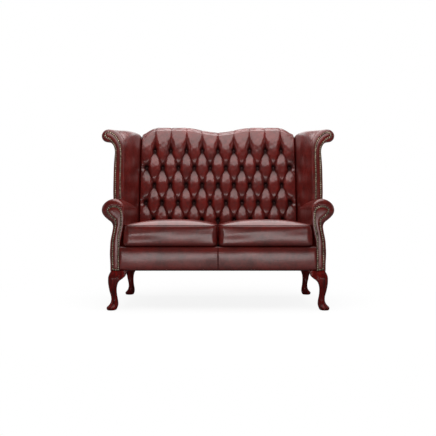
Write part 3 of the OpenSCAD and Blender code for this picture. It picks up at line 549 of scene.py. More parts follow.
def scroll_front(part, line, nails, radii, turns, behind, plane,
                 creased, swell, rumple, facing, shade_marks, shade):
    """The pad and the facing of an arm or a wing. The pad's leather rolls over the front edge in a few turns,
    swells between edge and nails and is sunk under the facing, which stands up from the nails. The plane is
    the front's place at each height and behind are the rings to the rear. The pleats and the leather along
    the nails get painted shade, and shade adds more painted shade where a piece gives it."""
    centre, spots, depth, reach = creased
    edge, rise, room, soft, sunk = swell
    start, height, run = facing
    near, over, strength, width, panel_width = shade_marks
    rim = inset(line, radii)

    def on_front(p, y):
        return np.stack([p[:, 0], FRONT + plane(p[:, 1]) + y, p[:, 1]], 1)

    def gathers(p, deep=depth):
        return pleats(p, centre, nails, spots, deep, reach)

    def face(p):
        from_edge, from_nails = apart(p, rim), apart(p, nails)
        y = edge - rise * np.sqrt(unit(np.minimum(from_edge, from_nails) / room)) + gathers(p)
        y = np.where(within(p, nails), sunk * step(from_nails / 0.002), y * step(from_nails / soft))
        return on_front(p, np.where(from_edge < 1e-5, edge + gathers(p), y))

    rings = []
    for phi in np.radians(np.linspace(0, 90, turns)):
        flat = inset(line, radii * (1 - sin(phi)))
        gathered = gathers(flat) * (1 - phi / (pi / 2)) ** 0.7
        rings.append(on_front(flat, edge + radii * (1 - cos(phi)) + gathered))
    shell = skinned(f"{part}_shell", np.array(rings + behind), fill=False)
    pad = joined(f"{part}_right_leather", shell, filled(f"{part}_face", [rim, nails], 0.0032, face))
    rumpled(closed(pad, 5e-5), *rumple)
    co = points_of(pad)
    flat = co[:, [0, 2]]
    at_front = step((FRONT + plane(co[:, 2]) + near - co[:, 1]) / over)
    # Painted shade: the pleats and the leather along the nails near the front are darkened.
    marks = gathers(flat, strength) + 0.8 * bell(apart(flat, nails), width)
    marked(pad, "painted_shade", unit(at_front * marks + shade(co)))
    panel = filled(f"{part}_facing_right_leather", [nails], 0.0028,
                   lambda p: on_front(p, start - height * (1 - np.exp(-apart(p, nails) / run))))
    panel.data.flip_normals()
    changed(closed(panel, fill=False), "SOLIDIFY", thickness=HIDE_THICK, offset=-1)
    co = points_of(closed(panel))
    # Painted shade on the facing, along its nail row.
    marked(panel, "painted_shade", 0.75 * bell(apart(co[:, [0, 2]], nails), panel_width))
    return pad, panel


def outside_panel(part, fore, rear, y_fore, y_rear, margin, count, tucked, puffed, sharp, depth, seed):
    """The panel on the outside of an arm or a wing, between a front and a rear edge, tucked in at both"""
    rings = []
    for s in (0.0, *np.linspace(margin, 1 - margin, count), 1.0):
        puff = puffed * unit(sin(pi * s)) ** sharp * np.sin(np.linspace(0, pi, len(fore))) ** 0.5
        edge = fore + (rear - fore) * s
        x = edge[:, 0] - (tucked if s in (0.0, 1.0) else 0.0) + puff
        rings.append(np.stack([x, FRONT + y_fore + (y_rear - y_fore) * s, edge[:, 1]], 1))
    o = skinned(f"outside_{part}_right_leather", np.array(rings), round_about=False, fill=False)
    return closed(changed(rumpled(o, 0.12, depth, seed), "SOLIDIFY", thickness=HIDE_THICK, offset=-1))


def copied(name, piece, seats):
    """Joined copies of a piece, one for each seat: its place and the way it faces"""
    made = []
    for place, facing in seats:
        copy = copy_of(piece, name)
        turned = facing.to_track_quat("Z", "Y").to_matrix().to_4x4()
        copy.data.transform(Matrix.Translation(place) @ turned)
        made.append(copy)
    bpy.data.objects.remove(piece)
    return joined(name, *made)


def domed_nails(part, line, place, loop=False):
    """A close row of domed nails along a line; place gives each nail's seat and the way it faces"""
    if loop:
        line = np.vstack([line, line[:1]])
    run = np.concatenate([[0], np.cumsum(np.linalg.norm(np.diff(line, axis=0), axis=1))])
    count = int(round(run[-1] / NAIL_PITCH))
    stops = np.linspace(0, run[-1], count + (not loop), endpoint=not loop)
    nail = primitive(bpy.ops.mesh.primitive_uv_sphere_add, segments=10, ring_count=6, radius=NAIL_RADIUS)
    mode("EDIT")
    bpy.ops.mesh.select_all(action="SELECT")
    bpy.ops.mesh.bisect(plane_co=(0, 0, 0), plane_no=(0, 0, -1), clear_outer=True, use_fill=True)
    mode("OBJECT")
    nail.data.transform(Matrix.Diagonal((1, 1, 0.72, 1)))
    seats = []
    for k, stop in enumerate(stops):
        seat, facing = place(np.interp(stop, run, line[:, 0]), np.interp(stop, run, line[:, 1]))
        seats.append((seat, Vector(facing) + Vector((sin(k * 2.4), 0, cos(k * 1.7))) * 0.05))
    return copied(f"{part}_nails_right", nail, seats)


def finished(part, pad, panel, outside, nails):
    both_sides(pad, f"{part}_pad", leather)
    both_sides(panel, f"{part}_facing", leather)
    both_sides(outside, f"outside_{part}", leather)
    both_sides(nails, f"{part}_nail_strip", brass)


def rear_plane(z):
    """How far behind FRONT the leaning plane of the outside back lies at a height"""
    return DEEP + (z - LEG_H) * tan(TILT)


brass, tree, shader, place_at = material("antique_brass", Metallic=1.0)
worn = sized(tree, noise(tree, place_at, 130.0, 3.0), 0.38, 0.62)
feed(shader, Base_Color=blended(tree, worn, (0.08, 0.064, 0.044), (0.43, 0.36, 0.26)),
     Roughness=sized(tree, worn, 0, 1, 0.48, 0.26))

NAIL_PITCH, NAIL_RADIUS, HIDE_THICK = 0.0117, 0.0053, 0.0022
ARM_IN, ARM_RISE = 0.5092, 0.4805        # inner face of the arm; top of the outside panel, under the roll
ROLL = np.array((0.569, 0.543))
arm_line = np.vstack([
    curve([(0.534, 0.2135), (0.534, 0.29), (0.533, 0.34), (0.5295, 0.372), (0.522, 0.405), (0.515, 0.438),
           (0.5108, 0.468), (0.5094, 0.5), (ARM_IN, 0.543)], 5)[:-1],
    curve([ROLL + (0.0598 * cos(a), 0.0598 * sin(a)) for a in np.radians(np.linspace(180, 88, 9))], 4)[:-1],
    curve([(0.571, 0.6027), (0.594, 0.597), (0.614, 0.5845), (0.628, 0.566), (0.6335, 0.5435), (0.629, 0.524),
           (0.615, 0.506), (0.597, 0.49), (0.581, 0.4775), (0.5725, 0.465), (0.5695, 0.448), (0.574, 0.418),
           (0.581, 0.391), (0.5862, 0.364), (0.5872, 0.328), (0.5866, 0.284), (0.5842, 0.2135)], 6)])
arm_nail_line = curve([(0.541, 0.2185), (0.5405, 0.269), (0.5395, 0.328), (0.54, 0.372), (0.5385, 0.401),
                       (0.532, 0.431), (0.527, 0.46), (0.525, 0.489), (0.525, 0.519), (0.527, 0.536),
                       (0.5335, 0.549), (0.547, 0.5575), (0.564, 0.5615), (0.5815, 0.558), (0.5955, 0.549),
                       (0.599, 0.538), (0.595, 0.527), (0.5845, 0.515), (0.5715, 0.5035), (0.558, 0.492),
                       (0.5545, 0.478), (0.5545, 0.46), (0.559, 0.431), (0.565, 0.401), (0.57, 0.372),
                       (0.5715, 0.328), (0.5715, 0.269), (0.571, 0.2185)], 5)
radii = edge_radii(arm_line, arm_nail_line, 0.019)
inner_side = np.arange(len(arm_line)) < 40
sheltered = ~inner_side & (arm_line[:, 1] < ARM_RISE)
reach = rear_plane(arm_line[:, 1]) - 0.0026
behind = []
for v in np.linspace(0, 1, 34)[1:] ** 1.25:
    deep = radii + (reach - radii) * v
    past = step((deep - 0.022) / 0.05)
    x, z = arm_line.T
    z = np.where(inner_side & (z < 0.3455), z + (0.3455 - z) * past, z)
    x = np.where(inner_side, x + (ARM_IN - x) * past, x)
    x = np.where(sheltered, x - 0.003 * step((deep - 0.016) / 0.006), x)
    behind.append(np.stack([x, FRONT + 0.001 + deep, z], 1))
# The arm's shade paints shade into the hollow under its scroll.
arm, panel = scroll_front(
    "arm", arm_line, arm_nail_line, radii, 9, behind, lambda z: 0 * z,
    creased=(ROLL, [168, 149, 131, 112, 95, 76, 58, 39, 20, 2, -16, -33], 0.003, 0.026),
    swell=(0.001, 0.0022, 0.01, 0.004, 0.004), rumple=(0.13, 0.0011, 5, (1, 0.5, 1)),
    facing=(0.001, 0.005, 0.006), shade_marks=(0.025, 0.02, 0.9, 0.0035, 0.0032),
    shade=lambda co: 0.5 * bell(np.hypot(co[:, 0] - 0.569, co[:, 2] - 0.47), 0.016))
row = np.vstack([arm_nail_line, curve([(0.571, 0.2185), (0.541, 0.2185)], 4)[1:-1]])
nails = domed_nails("arm", inset(row, 0.0002), lambda a, b: ((a, FRONT + 0.0004, b), (0, -1, 0)), loop=True)
strip = arm_line[sheltered & (arm_line[:, 0] > 0.565)]
strip = strip[strip[:, 1].argsort()]
strip = np.vstack([strip[:1] - (0.002, 0.0003), strip, strip[-1:] - (0.0014, -0.0009)])
outside = outside_panel("arm", strip, strip, 0.0185, rear_plane(strip[:, 1]) - 0.0026, 0.0012, 44,
                        0.0016, 0.0022, 0.5, 0.0008, 11)
finished("arm", arm, panel, outside, nails)

# Back. A single deep-buttoned cover over foam: diamond tufts pulled down by covered buttons, pleats that run
# from the top row over the camel-back edge, and a plain strip down each side. A flat panel closes the rear.
BASE = FRONT + DEEP
PITCH, ROW, ROW_LOW, HUMP = 0.104, 0.1166, 0.257, 0.8955
TOP_ROW, CROWN, DEPTH = ROW_LOW + 4 * ROW, -0.1205, 0.0305
SIDE = 0.5088


def on_back(x, n, s):
    """A point of the back: across, out through the back and up its slope"""
    return np.stack([x, BASE + n * cos(TILT) + s * sin(TILT), LEG_H - n * sin(TILT) + s * cos(TILT)], -1)


def crest(x):
    """The camel-back edge, up the slope: two humps, a dip between them and falling shoulders"""
    a = np.abs(x)
    dip = np.where(a < 0.23, 0.033 * (1 + np.cos(pi * a / 0.23)) / 2, 0)
    out = unit((a - 0.4) / 0.109)
    return HUMP - dip - 0.05 * (0.65 * step(out) + 0.35 * (1 - np.cos(pi / 2 * out)))


def buttons_in(j):
    return [(i + (j % 2) / 2) * PITCH for i in range(-4 - j % 2, 5)]


def odd_near(t):
    return 2 * np.floor(t / 2) + 1


def tufted(x, s):
    """Height of the tufts, 0 to 1, the puckers beside their folds, and the pits of the buttons. U counts the
    rows of buttons and V the half pitches, so each tuft is the diamond of points where p + q is under 1."""
    U, V = (s - ROW_LOW) / ROW, x / (PITCH / 2)
    a, b = odd_near(U + V), odd_near(U - V)
    mid_u, mid_v = (a + b) / 2, (a - b) / 2
    q, p = np.abs(U - mid_u), np.abs(V - mid_v)
    above, below, beside = U > 4, U < 0, np.abs(V) > 9
    plain = above | below
    p = np.where(plain, np.abs(V - odd_near(V)), p)
    q = np.where(plain, 0, q)
    q = np.where(beside & ~plain, np.abs(U - 2 * np.rint(U / 2)), q)
    p = np.where(beside, 0, p)
    r, inner = p / (p + q + 1e-9), unit(1 - p - q)
    own = SADDLE * np.sin(pi * q) ** 0.8
    ridge = 1 - q ** np.where(U > mid_u, 1.85, 3.4)
    level = own + (ridge - own) * (1 - unit(p / (1 - q + 1e-6)) ** 4.6)
    off = inner * PITCH / 2 * ROW / np.hypot(PITCH / 2, ROW)
    level -= np.where(plain | beside, 0, 0.085 * np.exp(-off / 0.003) * np.sin(pi * r) ** 0.5)
    away = np.maximum(s - TOP_ROW, ROW_LOW - s)
    beside_pleat = np.minimum((1 - p) * PITCH / 2 / (0.04 - 0.024 * unit(away / 0.12)), 1)
    pleat = 1 - (0.05 + 0.95 * np.exp(-(away / 0.052) ** 1.4)) * (1 - beside_pleat) ** 1.7
    pleat -= 0.065 * np.exp(-(1 - p) * PITCH / 2 / 0.0026)
    level = np.where(plain & ~beside, level + (pleat - level) * step(away / 0.05), level)
    fade = np.exp(-np.clip(np.abs(V) - 9, 0, 9) * PITCH / 2 / 0.02)
    level = np.where(beside & ~plain, 1 - (1 - level) * fade, level)
    level = np.where(beside & plain, 1, level)
    near = np.full(x.shape, 9.0)
    for j in range(5):
        for at in buttons_in(j):
            near = np.minimum(near, np.hypot(x - at, s - ROW_LOW - j * ROW))
    level *= 1 - 0.5 * bell(near, 0.0145)
    run = np.where(U > mid_u, r, 1 - r) * np.hypot(PITCH / 2, ROW)
    held = bell(run - 0.043, 0.014)
    pucker = np.cos(2 * pi * run / 0.0104) * bell(off - 0.0058, 0.004) * held
    pucker = np.where(plain | beside, 0, pucker)
    tug = np.cos(np.arctan2(s - ROW_LOW - np.rint(U) * ROW, x * np.sign(V) - 0.47) * 7)
    tug *= bell(near - 0.027, 0.01)
    pucker += np.where(beside & ~plain, 1.1 * tug, 0)
    return level, pucker, bell(near, 0.0125)


even = np.linspace(-0.49, 0.49, 330)
lines = np.arange(-4, 5) * PITCH
beside_lines = (lines[:, None] + (-0.0036, -0.0022, -0.0011, 0, 0.0011, 0.0022, 0.0036)).ravel()
even = even[np.abs(even[:, None] - lines).min(1) > 0.0044]
rims = np.linspace(0.49, SIDE, 12)
across = np.unique(np.concatenate([-rims, even, beside_lines, rims]))
# Where each stretch of the cover ends, as a share of the way from its low edge to its end behind the crest
HEM_END, TUFTS_END, BOW_END, BEND_END, SLOPE_END, ROLL_END = 0.03, 0.68, 0.76, 0.79, 0.85, 0.89
FLAT_END, BACK_END = 0.93, 0.975
marks = [0, HEM_END, TUFTS_END, BOW_END, BEND_END, SLOPE_END, 1.0]
share = np.unique(np.concatenate([np.linspace(a, b, count) for a, b, count in
                                  zip(marks, marks[1:], (8, 225, 34, 6, 9, 32))]))
x, v = np.meshgrid(across, share)
PAD_LOW, SADDLE, BOW, SLOPE, SMALL, ROUND = 0.13, 0.62, 0.018, 0.045, 0.007, 0.013
BEHIND, REAR_ROUND = -0.0223, 0.02
LEAN_1, LEAN_2 = radians(10), radians(47)
# The cover leans back in a slow bow from the top buttons to a soft edge, slopes up to the crest and turns
# over to the rear.
bow_from = TOP_ROW - 0.01
up_2 = SMALL * (sin(LEAN_2) - sin(LEAN_1))
up_3 = SLOPE * cos(LEAN_2)
bend = crest(x) - ROUND * (1 - sin(LEAN_2)) - up_3 - up_2
stretches = ((TUFTS_END, BOW_END), (BOW_END, BEND_END), (BEND_END, SLOPE_END), (SLOPE_END, ROLL_END),
             (ROLL_END, FLAT_END), (FLAT_END, BACK_END))
bowed, bent, sloped, rolled_over, flat_top, back_turn = [unit((v - a) / (b - a)) for a, b in stretches]
back_turn = back_turn * pi / 2
up = LEAN_1 * bowed + (LEAN_2 - LEAN_1) * bent + (pi / 2 - LEAN_2) * rolled_over
s = np.interp(v, [0, HEM_END, TUFTS_END], [PAD_LOW, PAD_LOW + 0.012, bow_from]) + (bend - bow_from) * bowed
s += SMALL * (np.sin(LEAN_1 + (LEAN_2 - LEAN_1) * bent) - sin(LEAN_1)) + up_3 * sloped
s += ROUND * (np.sin(LEAN_2 + (pi / 2 - LEAN_2) * rolled_over) - sin(LEAN_2))
n = CROWN + BOW * bowed ** 2 + SMALL * (cos(LEAN_1) - np.cos(LEAN_1 + (LEAN_2 - LEAN_1) * bent))
n += SLOPE * sin(LEAN_2) * sloped + ROUND * (cos(LEAN_2) - np.cos(LEAN_2 + (pi / 2 - LEAN_2) * rolled_over))
behind_top = v > FLAT_END
n += (BEHIND - n) * flat_top
n = np.where(behind_top, BEHIND + REAR_ROUND * np.sin(back_turn), n)
behind_s = crest(x) - REAR_ROUND * (1 - np.cos(back_turn)) - 0.012 * unit((v - BACK_END) / 0.025)
s = np.where(behind_top, behind_s, s)
out_n = np.where(behind_top, np.sin(back_turn), -np.cos(up))
out_s = np.where(behind_top, np.cos(back_turn), np.sin(up))
n = np.where(v < HEM_END, CROWN + 0.03 * (1 - np.sqrt(unit(1 - (1 - v / HEM_END) ** 2))), n)
run = np.where(v < BOW_END, s, bend + 0.06 * (v - BOW_END) / (ROLL_END - BOW_END))
level, pucker, pit = tufted(x, run)
plain = step((np.abs(x) - 0.4975) / 0.0113)
drop = DEPTH * (1 - level) - 0.0012 * pucker + 0.014 * plain ** 2 + 0.01 * pit
drop -= 0.0016 * np.sin(pi * unit((np.abs(x) - 0.42) / 0.09)) * (1 - plain)
front_side = on_back(x, n - out_n * drop, s - out_s * drop)
# Painted shade: the tuft folds and the button pits are darkened, most deeply in the pits.
sharp = unit(unit(1.2 * (1 - level)) ** 1.9 + pit)
down = np.linspace(0, 1, 14)[1:, None]
rear_side = on_back(np.broadcast_to(across, (13, len(across))), np.full((13, len(across)), -0.0035),
                    crest(across) - 0.034 + (PAD_LOW - crest(across) + 0.034) * down)
under = np.stack([rear_side[-1] + (front_side[0] - rear_side[-1]) * t for t in (0.3, 0.6, 1.0)])
rings = np.concatenate([front_side, rear_side, under])
sharp = np.concatenate([sharp, np.zeros((16, len(across)))])
pad = skinned("back_tufted_leather", rings, round_about=False, painted_shade=sharp)
changed(pad, "SMOOTH", factor=0.5, iterations=3)
shown(rumpled(pad, 0.045, 0.0004, 21), leather, "frame", ["back_pad"], 60)

FACING = Vector((0, -cos(TILT), sin(TILT)))
button = primitive(bpy.ops.mesh.primitive_uv_sphere_add, segments=20, ring_count=12, radius=0.0122)
button.data.transform(Matrix.Diagonal((1, 1, 0.4, 1)))
co = points_of(button)
co[:, 2] -= 0.0007 * bell(np.hypot(co[:, 0], co[:, 1]) - 0.0098, 0.0012) * (co[:, 2] > 0)
move_points(button, co)
seats = []
for j in range(5):
    for k, at in enumerate(buttons_in(j)):
        tilt = FACING + Vector((sin(5 * j + 2.4 * k), 0, cos(3 * j + 1.7 * k))) * 0.07
        seats.append((Vector(on_back(at, CROWN + DEPTH + 0.0045, ROW_LOW + j * ROW)), tilt))
buttons = copied("back_buttons_covered", button, seats)
# Painted shade: every button is darkened almost to black and loses its lacquer coat, as in its pit's shade.
marked(buttons, "painted_shade", np.full(len(buttons.data.vertices), 0.84))
shown(buttons, leather, "frame", ["back_buttons"], 60)


def slope(z):
    return (z - LEG_H) / cos(TILT)


across = np.linspace(-SIDE, SIDE, 90)
sides = np.array([(0.549, slope(1.014)), (0.588, slope(0.986)), (0.588, slope(0.62)), (0.586, slope(0.56)),
                  (0.583, slope(0.345)), (0.583, 0.001)])
sides = np.vstack([a + (b - a) * t for a, b in zip(sides, sides[1:])
                   for t in np.linspace(0, 1, 9)[:-1, None]] + [sides[-1:]])
rear_line = np.vstack([np.stack([across, crest(across) - 0.0215], 1), sides, (sides * (-1, 1))[::-1]])


def rear_face(p):
    """The outside back: pulled flat over the frame, turned in at its edges"""
    d = apart(p, rear_line)
    rolled = np.sqrt(unit(1 - (1 - unit(d / 0.005)) ** 2))
    return on_back(p[:, 0], -0.0012 + 0.0042 * rolled + 0.002 * step(d / 0.12), p[:, 1])


lines = [rear_line] + [inset(rear_line, d) for d in (0.0012, 0.003, 0.006)]
rear_panel = filled("outside_back_leather", lines, 0.016, rear_face)
changed(rumpled(closed(rear_panel, fill=False), 0.22, 0.0009, 31), "SOLIDIFY", thickness=0.002, offset=0)
co = points_of(closed(rear_panel))
local = np.stack([co[:, 0], (co[:, 2] - LEG_H) * cos(TILT) + (co[:, 1] - BASE) * sin(TILT)], 1)
# Painted shade along the edges, where the outside back turns in.
marked(rear_panel, "painted_shade", 0.7 * bell(apart(local, rear_line), 0.004))
shown(rear_panel, leather, "frame", ["outside_back"], 50)

# Wings. Each wing is padded over a plywood board, flares forward from the back and rolls outwards in a scroll
# at its top. Its front edge is finished, as the arms are, by a padded facing between two rows of nails.
WING_LOW, WING_TALL, NECK = 0.545, 0.481, 0.896  # foot of the wing, its height, start of its curl
WING_OUT, ABOVE_ARM = 0.592, 0.592               # its outer face; the height at which it leaves the arm
INSIDE, OUTSIDE = 40, 38                         # points up the inner face and down the outer one
SCROLL = np.array((0.6485, 0.9865))


def wing_front(z):
    """How far behind FRONT the wing's front edge lies: it leans back and bows forward in between"""
    bow = 0.02 * np.sin(pi * unit((z - WING_LOW) / WING_TALL))
    return 0.232 + (z - WING_LOW) * tan(radians(7.5)) - bow


def rising(x, z0, z1, n):
    return [(x, z0 + (z1 - z0) * t) for t in np.linspace(0, 1, n)]


def arc(cx, cz, rx, rz, a0, a1, n):
    return [(cx + rx * cos(a), cz + rz * sin(a)) for a in np.radians(np.linspace(a0, a1, n))]


curl = curve([(0.6395, 0.949), (0.6305, 0.9425), (0.621, 0.9335), (0.6125, 0.918), (0.6075, 0.9),
              (0.6055, 0.88)], 5)[:-1].tolist()
wing_line = np.array(rising(0.55, WING_LOW, NECK, INSIDE)[:-1]
                     + arc(0.6485, 0.908, -0.0985, 0.118, -6, 90, 27)[:-1]
                     + arc(*SCROLL, 0.0405, 0.0395, 90, -84, 30) + curl
                     + [(0.605 + 0.0065 * sin(pi * (0.9 - z) / 0.4), z)
                        for z in np.linspace(0.88, WING_LOW, OUTSIDE)])
wing_rear = np.array(rising(ARM_IN, WING_LOW, NECK, INSIDE)[:-1] + rising(ARM_IN, NECK, 1.038, 8)[:-1]
                     + arc(0.525, 1.038, -0.0158, 0.013, 0, 90, 20)[:-1]
                     + arc(0.553, 1.004, 0.039, 0.04, 90, 0, 21)[:-1]
                     + rising(WING_OUT, 1.002, 0.88, len(wing_line) - 84 - OUTSIDE)[:-1]
                     + rising(WING_OUT, 0.88, WING_LOW, OUTSIDE))
wing_nail_line = curve([(0.57, 0.56), (0.57, 0.615), (0.5712, 0.723), (0.571, 0.827), (0.5715, 0.873),
                        (0.5745, 0.906), (0.581, 0.938), (0.5925, 0.962), (0.609, 0.983), (0.623, 0.9955),
                        (0.6375, 1.0035), (0.6515, 1.0045), (0.6635, 0.997), (0.6672, 0.985),
                        (0.6595, 0.9745), (0.6455, 0.968), (0.63, 0.956), (0.615, 0.938), (0.6055, 0.92),
                        (0.6005, 0.898), (0.599, 0.86), (0.5985, 0.788), (0.598, 0.675), (0.5975, 0.56)], 6)
radii = edge_radii(wing_line, wing_nail_line, 0.012)
start, deep = wing_front(wing_line[:, 1]) + radii, rear_plane(wing_rear[:, 1]) - 0.1199
count = np.arange(len(wing_line))
inner_face, outer_face = count < 66, count >= len(wing_line) - OUTSIDE - 18
lag = np.stack([1 + 1.1 * step((62 - count) / 20), 1 + 2.4 * step((67 - count) / 14)], 1)
behind = []
for u in np.linspace(0, 1, 34)[1:]:
    mixed = wing_line + (wing_rear - wing_line) * (1 - (1 - u) ** lag)
    full = 0.0024 * unit(sin(pi * u)) ** 0.8 * np.sin(pi * unit((mixed[:, 1] - 0.52) / 0.52))
    mixed[:, 0] -= np.where(inner_face, full, 0)
    mixed[:, 0] -= np.where(outer_face, 0.003 * step((u - 0.03) / 0.03), 0)
    behind.append(np.stack([mixed[:, 0], FRONT + start + (deep - start) * u, mixed[:, 1]], 1))
for u in (0.35, 0.7, 1.0):
    x = wing_rear[:, 0] - np.where(outer_face, 0.003, 0)
    behind.append(np.stack([x, FRONT + deep + 0.1172 * u, wing_rear[:, 1]], 1))
wing, panel = scroll_front(
    "wing", wing_line, wing_nail_line, radii, 8, behind, wing_front,
    creased=(SCROLL, [150, 128, 104, 80, 54, 30, 8, -20, -48], 0.002, 0.016),
    swell=(0.0, 0.0016, 0.008, 0.003, 0.0035), rumple=(0.15, 0.0008, 41, (1, 0.6, 0.8)),
    facing=(0.0005, 0.0044, 0.005), shade_marks=(0.016, 0.012, 0.8, 0.0032, 0.003), shade=lambda co: 0)
seen = wing_nail_line[wing_nail_line[:, 1] > ABOVE_ARM + 0.0055]
nails = domed_nails("wing", seen, lambda a, b: ((a, FRONT + float(wing_front(b)) - 0.0006, b),
                                                (0, -cos(0.13), sin(0.13))))
keep = outer_face & (wing_line[:, 1] > ABOVE_ARM)
fore, rear = wing_line[keep][::-1], wing_rear[keep][::-1]
outside = outside_panel("wing", fore, rear, wing_front(fore[:, 1]) + 0.012, rear_plane(rear[:, 1]) - 0.0028,
                        0.004, 34, 0.0018, 0.0016, 1, 0.0007, 43)
finished("wing", wing, panel, outside, nails)

# Seat cushions. Two loose box cushions of leather over crowned foam: a crisp seam round the top edge, a
# second one low down, soft bottom corners and a front that has wrinkled lengthwise from sitting.
HALF_X, HALF_Y, LOW, TALL, ROLL_IN = 0.2524, 0.279, 0.3456, 0.1138, 0.064
TOP_SEAM, LOW_SEAM = 0.965, 0.11
MIDDLE, TOOTH_PITCH = np.array((0.2546, FRONT + 0.2718)), 0.0039
# Each wrinkle: middle, height, half length, half width, depth
wrinkles = [(-0.165, 0.38, 0.095, 0.0175, -0.0008), (-0.06, 0.425, 0.09, 0.012, 0.0003),
            (0.19, 0.406, 0.06, 0.015, 0.0003)]


def box(place, size):
    o = primitive(bpy.ops.mesh.primitive_cube_add, size=1)
    o.data.transform(Matrix.Translation(place) @ Matrix.Diagonal((*size, 1)))
    return o


for side, way in (("right", 1), ("left", -1)):
    o = primitive(bpy.ops.mesh.primitive_cube_add, size=2)
    mode("EDIT")
    bpy.ops.mesh.subdivide(number_cuts=83)
    mode("OBJECT")
    u, v, w = points_of(o).T
    top = w > 0.999
    t = (w + 1) / 2
    t = t + 0.22 * np.sin(2 * pi * t) / (2 * pi)
    corner = 0.022 + 0.014 * np.sin(pi * t) ** 0.7
    u, v = [np.sin(a * pi / 2 * 0.9) / sin(pi / 2 * 0.9) for a in (u, v)]
    flat = np.stack([HALF_X * u, HALF_Y * v], 1)
    room = np.stack([HALF_X - corner, HALF_Y - corner], 1)
    off = flat - np.clip(flat, -room, room)
    length = np.linalg.norm(off, axis=1) + 1e-9
    flat = flat - off + off / length[:, None] * np.abs(off).max(1)[:, None]
    low_round = unit(1 - t / 0.14)
    tuck = 0.015 * (1 - np.sqrt(1 - low_round ** 2))
    tuck += 0.0016 * bell(t - TOP_SEAM, 0.008) + 0.0012 * bell(t - LOW_SEAM, 0.01)
    way_up = np.abs(2 * unit((t - 0.03) / 0.93) - 1)
    swell = 0.62 * (1 - way_up ** 8) ** 0.8 + 0.38 * (1 - way_up ** 2)
    flat *= np.stack([1 - (tuck + 0.0016 - 0.0016 * swell) / HALF_X, 1 - (tuck + 0.0005) / HALF_Y], 1)
    share = unit(1 - np.abs(flat[:, 0] / HALF_X) ** 2.2) ** 0.9
    full = np.where(v < 0, 0.0066, 0.0012) * swell * unit(np.abs(v)) ** 8 * share ** 0.55
    flat[:, 1] += full * np.sign(v)
    in_from = unit((HALF_Y - np.abs(flat[:, 1])) / (ROLL_IN * (0.25 + 0.75 * share)))
    z = LOW + TALL * t + np.where(top, 0.0325 * share * (1 - (1 - in_from) ** 1.7), 0)
    front = unit(-v) ** 30
    push = np.zeros(len(z))
    for a, b, long, tall, deep in wrinkles:
        bent = b + 0.003 * np.sin((flat[:, 0] - a) / long * 1.3)
        ridge = bell(z - bent, tall) - 0.8 * bell(z - bent - 1.7 * tall, tall)
        push += deep * bell(flat[:, 0] - a, long) * ridge
    flat[:, 1] -= front * push * np.sin(pi * unit(t)) ** 0.5
    outer = unit(way * flat[:, 0] / HALF_X) ** 3 * bell(flat[:, 1] + HALF_Y, 0.034)
    flat[:, 0] += way * 0.0165 * outer * step((0.478 - z) / 0.07)
    co = np.stack([way * MIDDLE[0] + flat[:, 0], MIDDLE[1] + flat[:, 1], z], 1)
    move_points(o, co)
    o.name = f"seat_cushion_{side}_leather"
    # Painted shade in the two seams and along the bottom of the sides.
    seams = bell(t - TOP_SEAM, 0.01) + bell(t - LOW_SEAM, 0.012)
    marked(o, "painted_shade", unit(0.65 * seams * (np.abs(w) < 0.999) + 0.35 * (t < 0.05) * (w > -0.999)))
    closed(o, fill=False)
    rumpled(o, 0.085, 0.0003, 51 + way, (0.35, 0.6, 1.2))
    shown(o, leather, f"cushion_{side}", [f"seat_cushion_{side}"], 42)
    x, back, z = way * MIDDLE[0], MIDDLE[1] + HALF_Y, LOW + TALL / 2
    tape = changed(box((x, back, z), (0.38, 0.003, 0.022)), "BEVEL", width=0.0008, segments=2)
    teeth = [box((x + k * TOOTH_PITCH, back + 0.0018, z), (0.0022, 0.0018, 0.006)) for k in range(-47, 48)]
    tape = joined(f"cushion_zip_{side}_tape", tape, *teeth)
    shown(tape, zip_look, f"cushion_{side}", [f"cushion_zip_{side}"], 30)

# Feet. A disc of felt under each foot keeps the lacquer off the floor.
felt = cloth("felt", (0.1, 0.085, 0.07), (0.06, 0.05, 0.04), 1600.0, Roughness=1.0)
glides = []
for sx in (-1, 1):
    for y in (0.006, 0.644):
        disc = primitive(bpy.ops.mesh.primitive_cylinder_add, vertices=32, radius=0.014, depth=0.0016)
        disc.data.transform(Matrix.Translation((sx * 0.575, FRONT + y, 0.0008)))
        glides.append(disc)
glides = changed(joined("felt_glides", *glides), "BEVEL", width=0.0004, segments=2, limit_method="ANGLE")
shown(glides, felt, "frame")

# Stage. A white floor that keeps a pale shadow of the sofa, under a sky that is white to the camera. A broad
# soft box hangs overhead, a long low one in front draws the bands on the cushions, and weak ones fill the
# sides and the rear.
floor_look, tree, shader, floor_at = material("floor", Roughness=0.9, Specular_IOR_Level=0.0)
path = put(tree, "ShaderNodeLightPath").outputs
feed(shader, Base_Color=blended(tree, path["Is Camera Ray"], (0.24, 0.24, 0.24), (0.9, 0.9, 0.9)))
glow = put(tree, "ShaderNodeEmission", {"Color": (1, 1, 1, 1), "Strength": 1.0})
away = put(tree, "ShaderNodeVectorMath", {0: floor_at}, operation="LENGTH").outputs["Value"]
mirror_like = maths(tree, "MAXIMUM", path["Is Glossy Ray"], path["Is Transmission Ray"])
seen = maths(tree, "MULTIPLY", path["Is Camera Ray"], sized(tree, away, 0.4, 1.6, 0.88, 1.0))
mirrored_in = maths(tree, "MULTIPLY", mirror_like, sized(tree, away, 1.0, 3.0, 0.0, 0.3))
seen = maths(tree, "ADD", seen, mirrored_in)
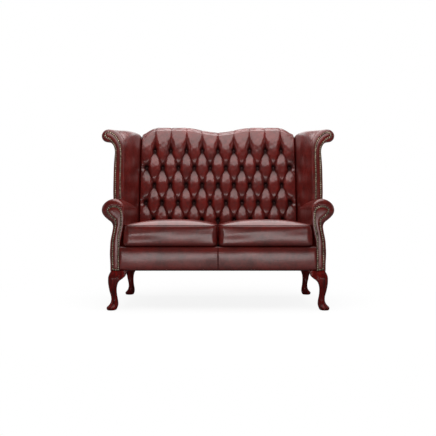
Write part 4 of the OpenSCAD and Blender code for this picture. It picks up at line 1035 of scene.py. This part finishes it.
both = put(tree, "ShaderNodeMixShader", {0: seen, 1: shader.outputs[0], 2: glow.outputs[0]})
tree.links.new(both.outputs[0], tree.nodes["Material Output"].inputs["Surface"])
floor = primitive(bpy.ops.mesh.primitive_plane_add, size=24)
floor.name = "floor"
floor.data.materials.append(floor_look)

world = bpy.data.worlds.new("studio")
world.use_nodes = True
bpy.context.scene.world = world
tree = world.node_tree
sky = tree.nodes["Background"]
path = put(tree, "ShaderNodeLightPath").outputs
way = put(tree, "ShaderNodeSeparateXYZ", {0: put(tree, "ShaderNodeTexCoord").outputs["Generated"]}).outputs
behind = sized(tree, way["Y"], -0.1, 0.7, 0.0, 0.4)
mirror_like = maths(tree, "MAXIMUM", path["Is Glossy Ray"], path["Is Transmission Ray"])
white = maths(tree, "MAXIMUM", path["Is Camera Ray"], maths(tree, "MULTIPLY", mirror_like, behind))
feed(sky, Strength=maths(tree, "MAXIMUM", white, maths(tree, "MULTIPLY", path["Is Diffuse Ray"], 0.32)))
sky.inputs["Color"].default_value = (1, 1, 1, 1)


def softbox(name, power, size, place, aim):
    lamp = bpy.data.lights.new(name, "AREA")
    lamp.shape, lamp.energy = "RECTANGLE", power
    lamp.size, lamp.size_y = size
    o = linked(name, lamp)
    o.location = place
    o.rotation_euler = (Vector(aim) - Vector(place)).to_track_quat("-Z", "Y").to_euler()
    o.visible_camera = False


softbox("overhead", 119, (2.7, 3.6), (0, -0.38, 2.7), (0, -0.38, 0.6))
softbox("low_front", 33, (3.2, 0.44), (0, -4.3, 0.25), (0, 0, 0.25))
softbox("behind", 12, (2.6, 1.4), (0, 3.2, 2.2), (0, 0.2, 0.6))
for side in (-1, 1):
    softbox(f"side_{'left' if side < 0 else 'right'}", 8, (1.2, 1.4), (side * 3.0, -0.6, 1.5), (0, 0, 0.6))

scene = bpy.context.scene
scene.view_settings.view_transform = "Standard"
camera = linked("camera", bpy.data.cameras.new("camera"))
camera.location = (0, FRONT - 3.13, 0.499)
camera.rotation_euler = (pi / 2, 0, 0)
camera.data.lens = 47.7
camera.data.clip_end = 60
scene.camera = camera
